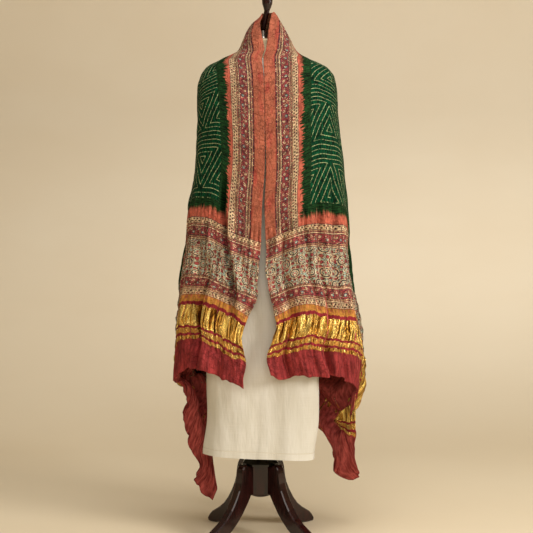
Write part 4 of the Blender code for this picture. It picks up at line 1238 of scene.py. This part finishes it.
# Lamps: where each stands, what it points at, its size in metres, power in watts and tone.
LAMPS = (
    {"name": "softbox_right", "at": (3.1, -2.2, 2.0), "aim": (0.0, 0.0, 0.6), "size": 1.3, "power": 106.0,
     "tone": "#FFFBF6"},
    {"name": "softbox_top", "at": (0.2, -1.2, 4.4), "aim": (0.0, 0.2, 0.0), "size": 2.4, "power": 108.0,
     "tone": "#FFFCF8"},
    {"name": "fill_front", "at": (0.1, -3.9, 2.1), "aim": (0.0, 0.0, 0.4), "size": 1.8, "power": 36.0,
     "tone": "#FFFAF2"},
    {"name": "backdrop_right", "at": (1.1, 2.3, 3.8), "aim": (1.0, 6.8, 2.5), "size": 1.2, "power": 134.0,
     "tone": "#F6F8FF"},
)
ROOM_LIGHT = {"tone": "#F2DCB8", "strength": 0.21}


def placed(name, data):
    obj = bpy.data.objects.new(name, data)
    bpy.context.scene.collection.objects.link(obj)
    return obj


def studio():
    """A floor that rises so slowly into a wall all round that no line shows, and soft light."""
    slow, steep = np.radians(SWEEP["slow_turns"]), np.radians(SWEEP["steep_turns"])
    foot, wide, tight = SWEEP["flat"][-1], SWEEP["slow_radius"], SWEEP["steep_radius"]
    profile = [(reach, 0.0) for reach in SWEEP["flat"]]
    profile += [(foot + wide * math.sin(a), wide * (1 - math.cos(a))) for a in slow]
    reach, height = profile[-1]
    profile += [(reach + tight * (math.sin(a) - math.sin(slow[-1])),
                 height + tight * (math.cos(slow[-1]) - math.cos(a))) for a in steep]
    profile += [(profile[-1][0], SWEEP["top"])]
    turns = np.arange(SWEEP["columns"]) * 2 * math.pi / SWEEP["columns"]
    verts = [(float(reach * math.cos(turn)), float(reach * math.sin(turn)), float(height))
             for reach, height in profile for turn in turns]
    paper = bpy.data.meshes.new("studio_paper")
    paper.from_pydata(verts, [], grid_faces(len(profile), len(turns), closed=True))
    paper.shade_smooth()
    paper.materials.append(studio_paper())
    placed("studio_paper", paper)

    for light in LAMPS:
        lamp = bpy.data.lights.new(light["name"], "AREA")
        lamp.size = light["size"]
        lamp.energy = light["power"]
        lamp.color = colour(light["tone"])[:3]
        holder = placed(light["name"], lamp)
        holder.location = light["at"]
        aim = np.array(light["aim"]) - np.array(light["at"])
        holder.rotation_euler = (math.acos(-aim[2] / np.linalg.norm(aim)), 0.0, math.atan2(-aim[0], aim[1]))
        holder.visible_camera = False

    world = bpy.data.worlds.new("studio")
    world.use_nodes = True
    sky = world.node_tree.nodes["Background"]
    sky.inputs["Color"].default_value = colour(ROOM_LIGHT["tone"])
    sky.inputs["Strength"].default_value = ROOM_LIGHT["strength"]
    bpy.context.scene.world = world
    bpy.context.scene.view_settings.view_transform = "Standard"


def photograph_camera():
    lens = bpy.data.cameras.new("camera")
    lens.lens = CAMERA["lens"]
    lens.sensor_width = CAMERA["sensor"]
    camera = placed("camera", lens)
    camera.location = (AXIS[0] + CAMERA["aside"], AXIS[1] - CAMERA["distance"], CAMERA["height"])
    camera.rotation_euler = (math.radians(90 - CAMERA["tilt"]), 0.0, 0.0)
    bpy.context.scene.camera = camera


def repaint(name, material):
    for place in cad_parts[name].material_slots:
        place.material = material


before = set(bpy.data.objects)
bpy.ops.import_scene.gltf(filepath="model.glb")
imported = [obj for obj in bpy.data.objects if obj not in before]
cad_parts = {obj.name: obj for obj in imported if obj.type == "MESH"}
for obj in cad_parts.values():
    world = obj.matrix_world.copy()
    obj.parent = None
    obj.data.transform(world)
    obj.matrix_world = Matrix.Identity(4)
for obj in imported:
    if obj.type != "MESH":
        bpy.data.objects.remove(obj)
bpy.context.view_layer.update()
pole_low, pole_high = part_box("pole")
AXIS = np.array([(pole_low[0] + pole_high[0]) / 2, (pole_low[1] + pole_high[1]) / 2, 0.0])

photograph_camera()
studio()
cotton_shift()
silk_cloth()
wood = varnished_wood("stained_wood", "#0C0403", "#2E0C0A")
collar_wood = varnished_wood("dark_collar_wood", "#080602", "#181206")
repaint("dress_form", form_jersey())
repaint("neck_ferrule", brushed_nickel())
repaint("flared_collar", collar_wood)
for name in ("neck_finial", "pole", "hub", "hub_boss", *LEGS):
    repaint(name, wood)
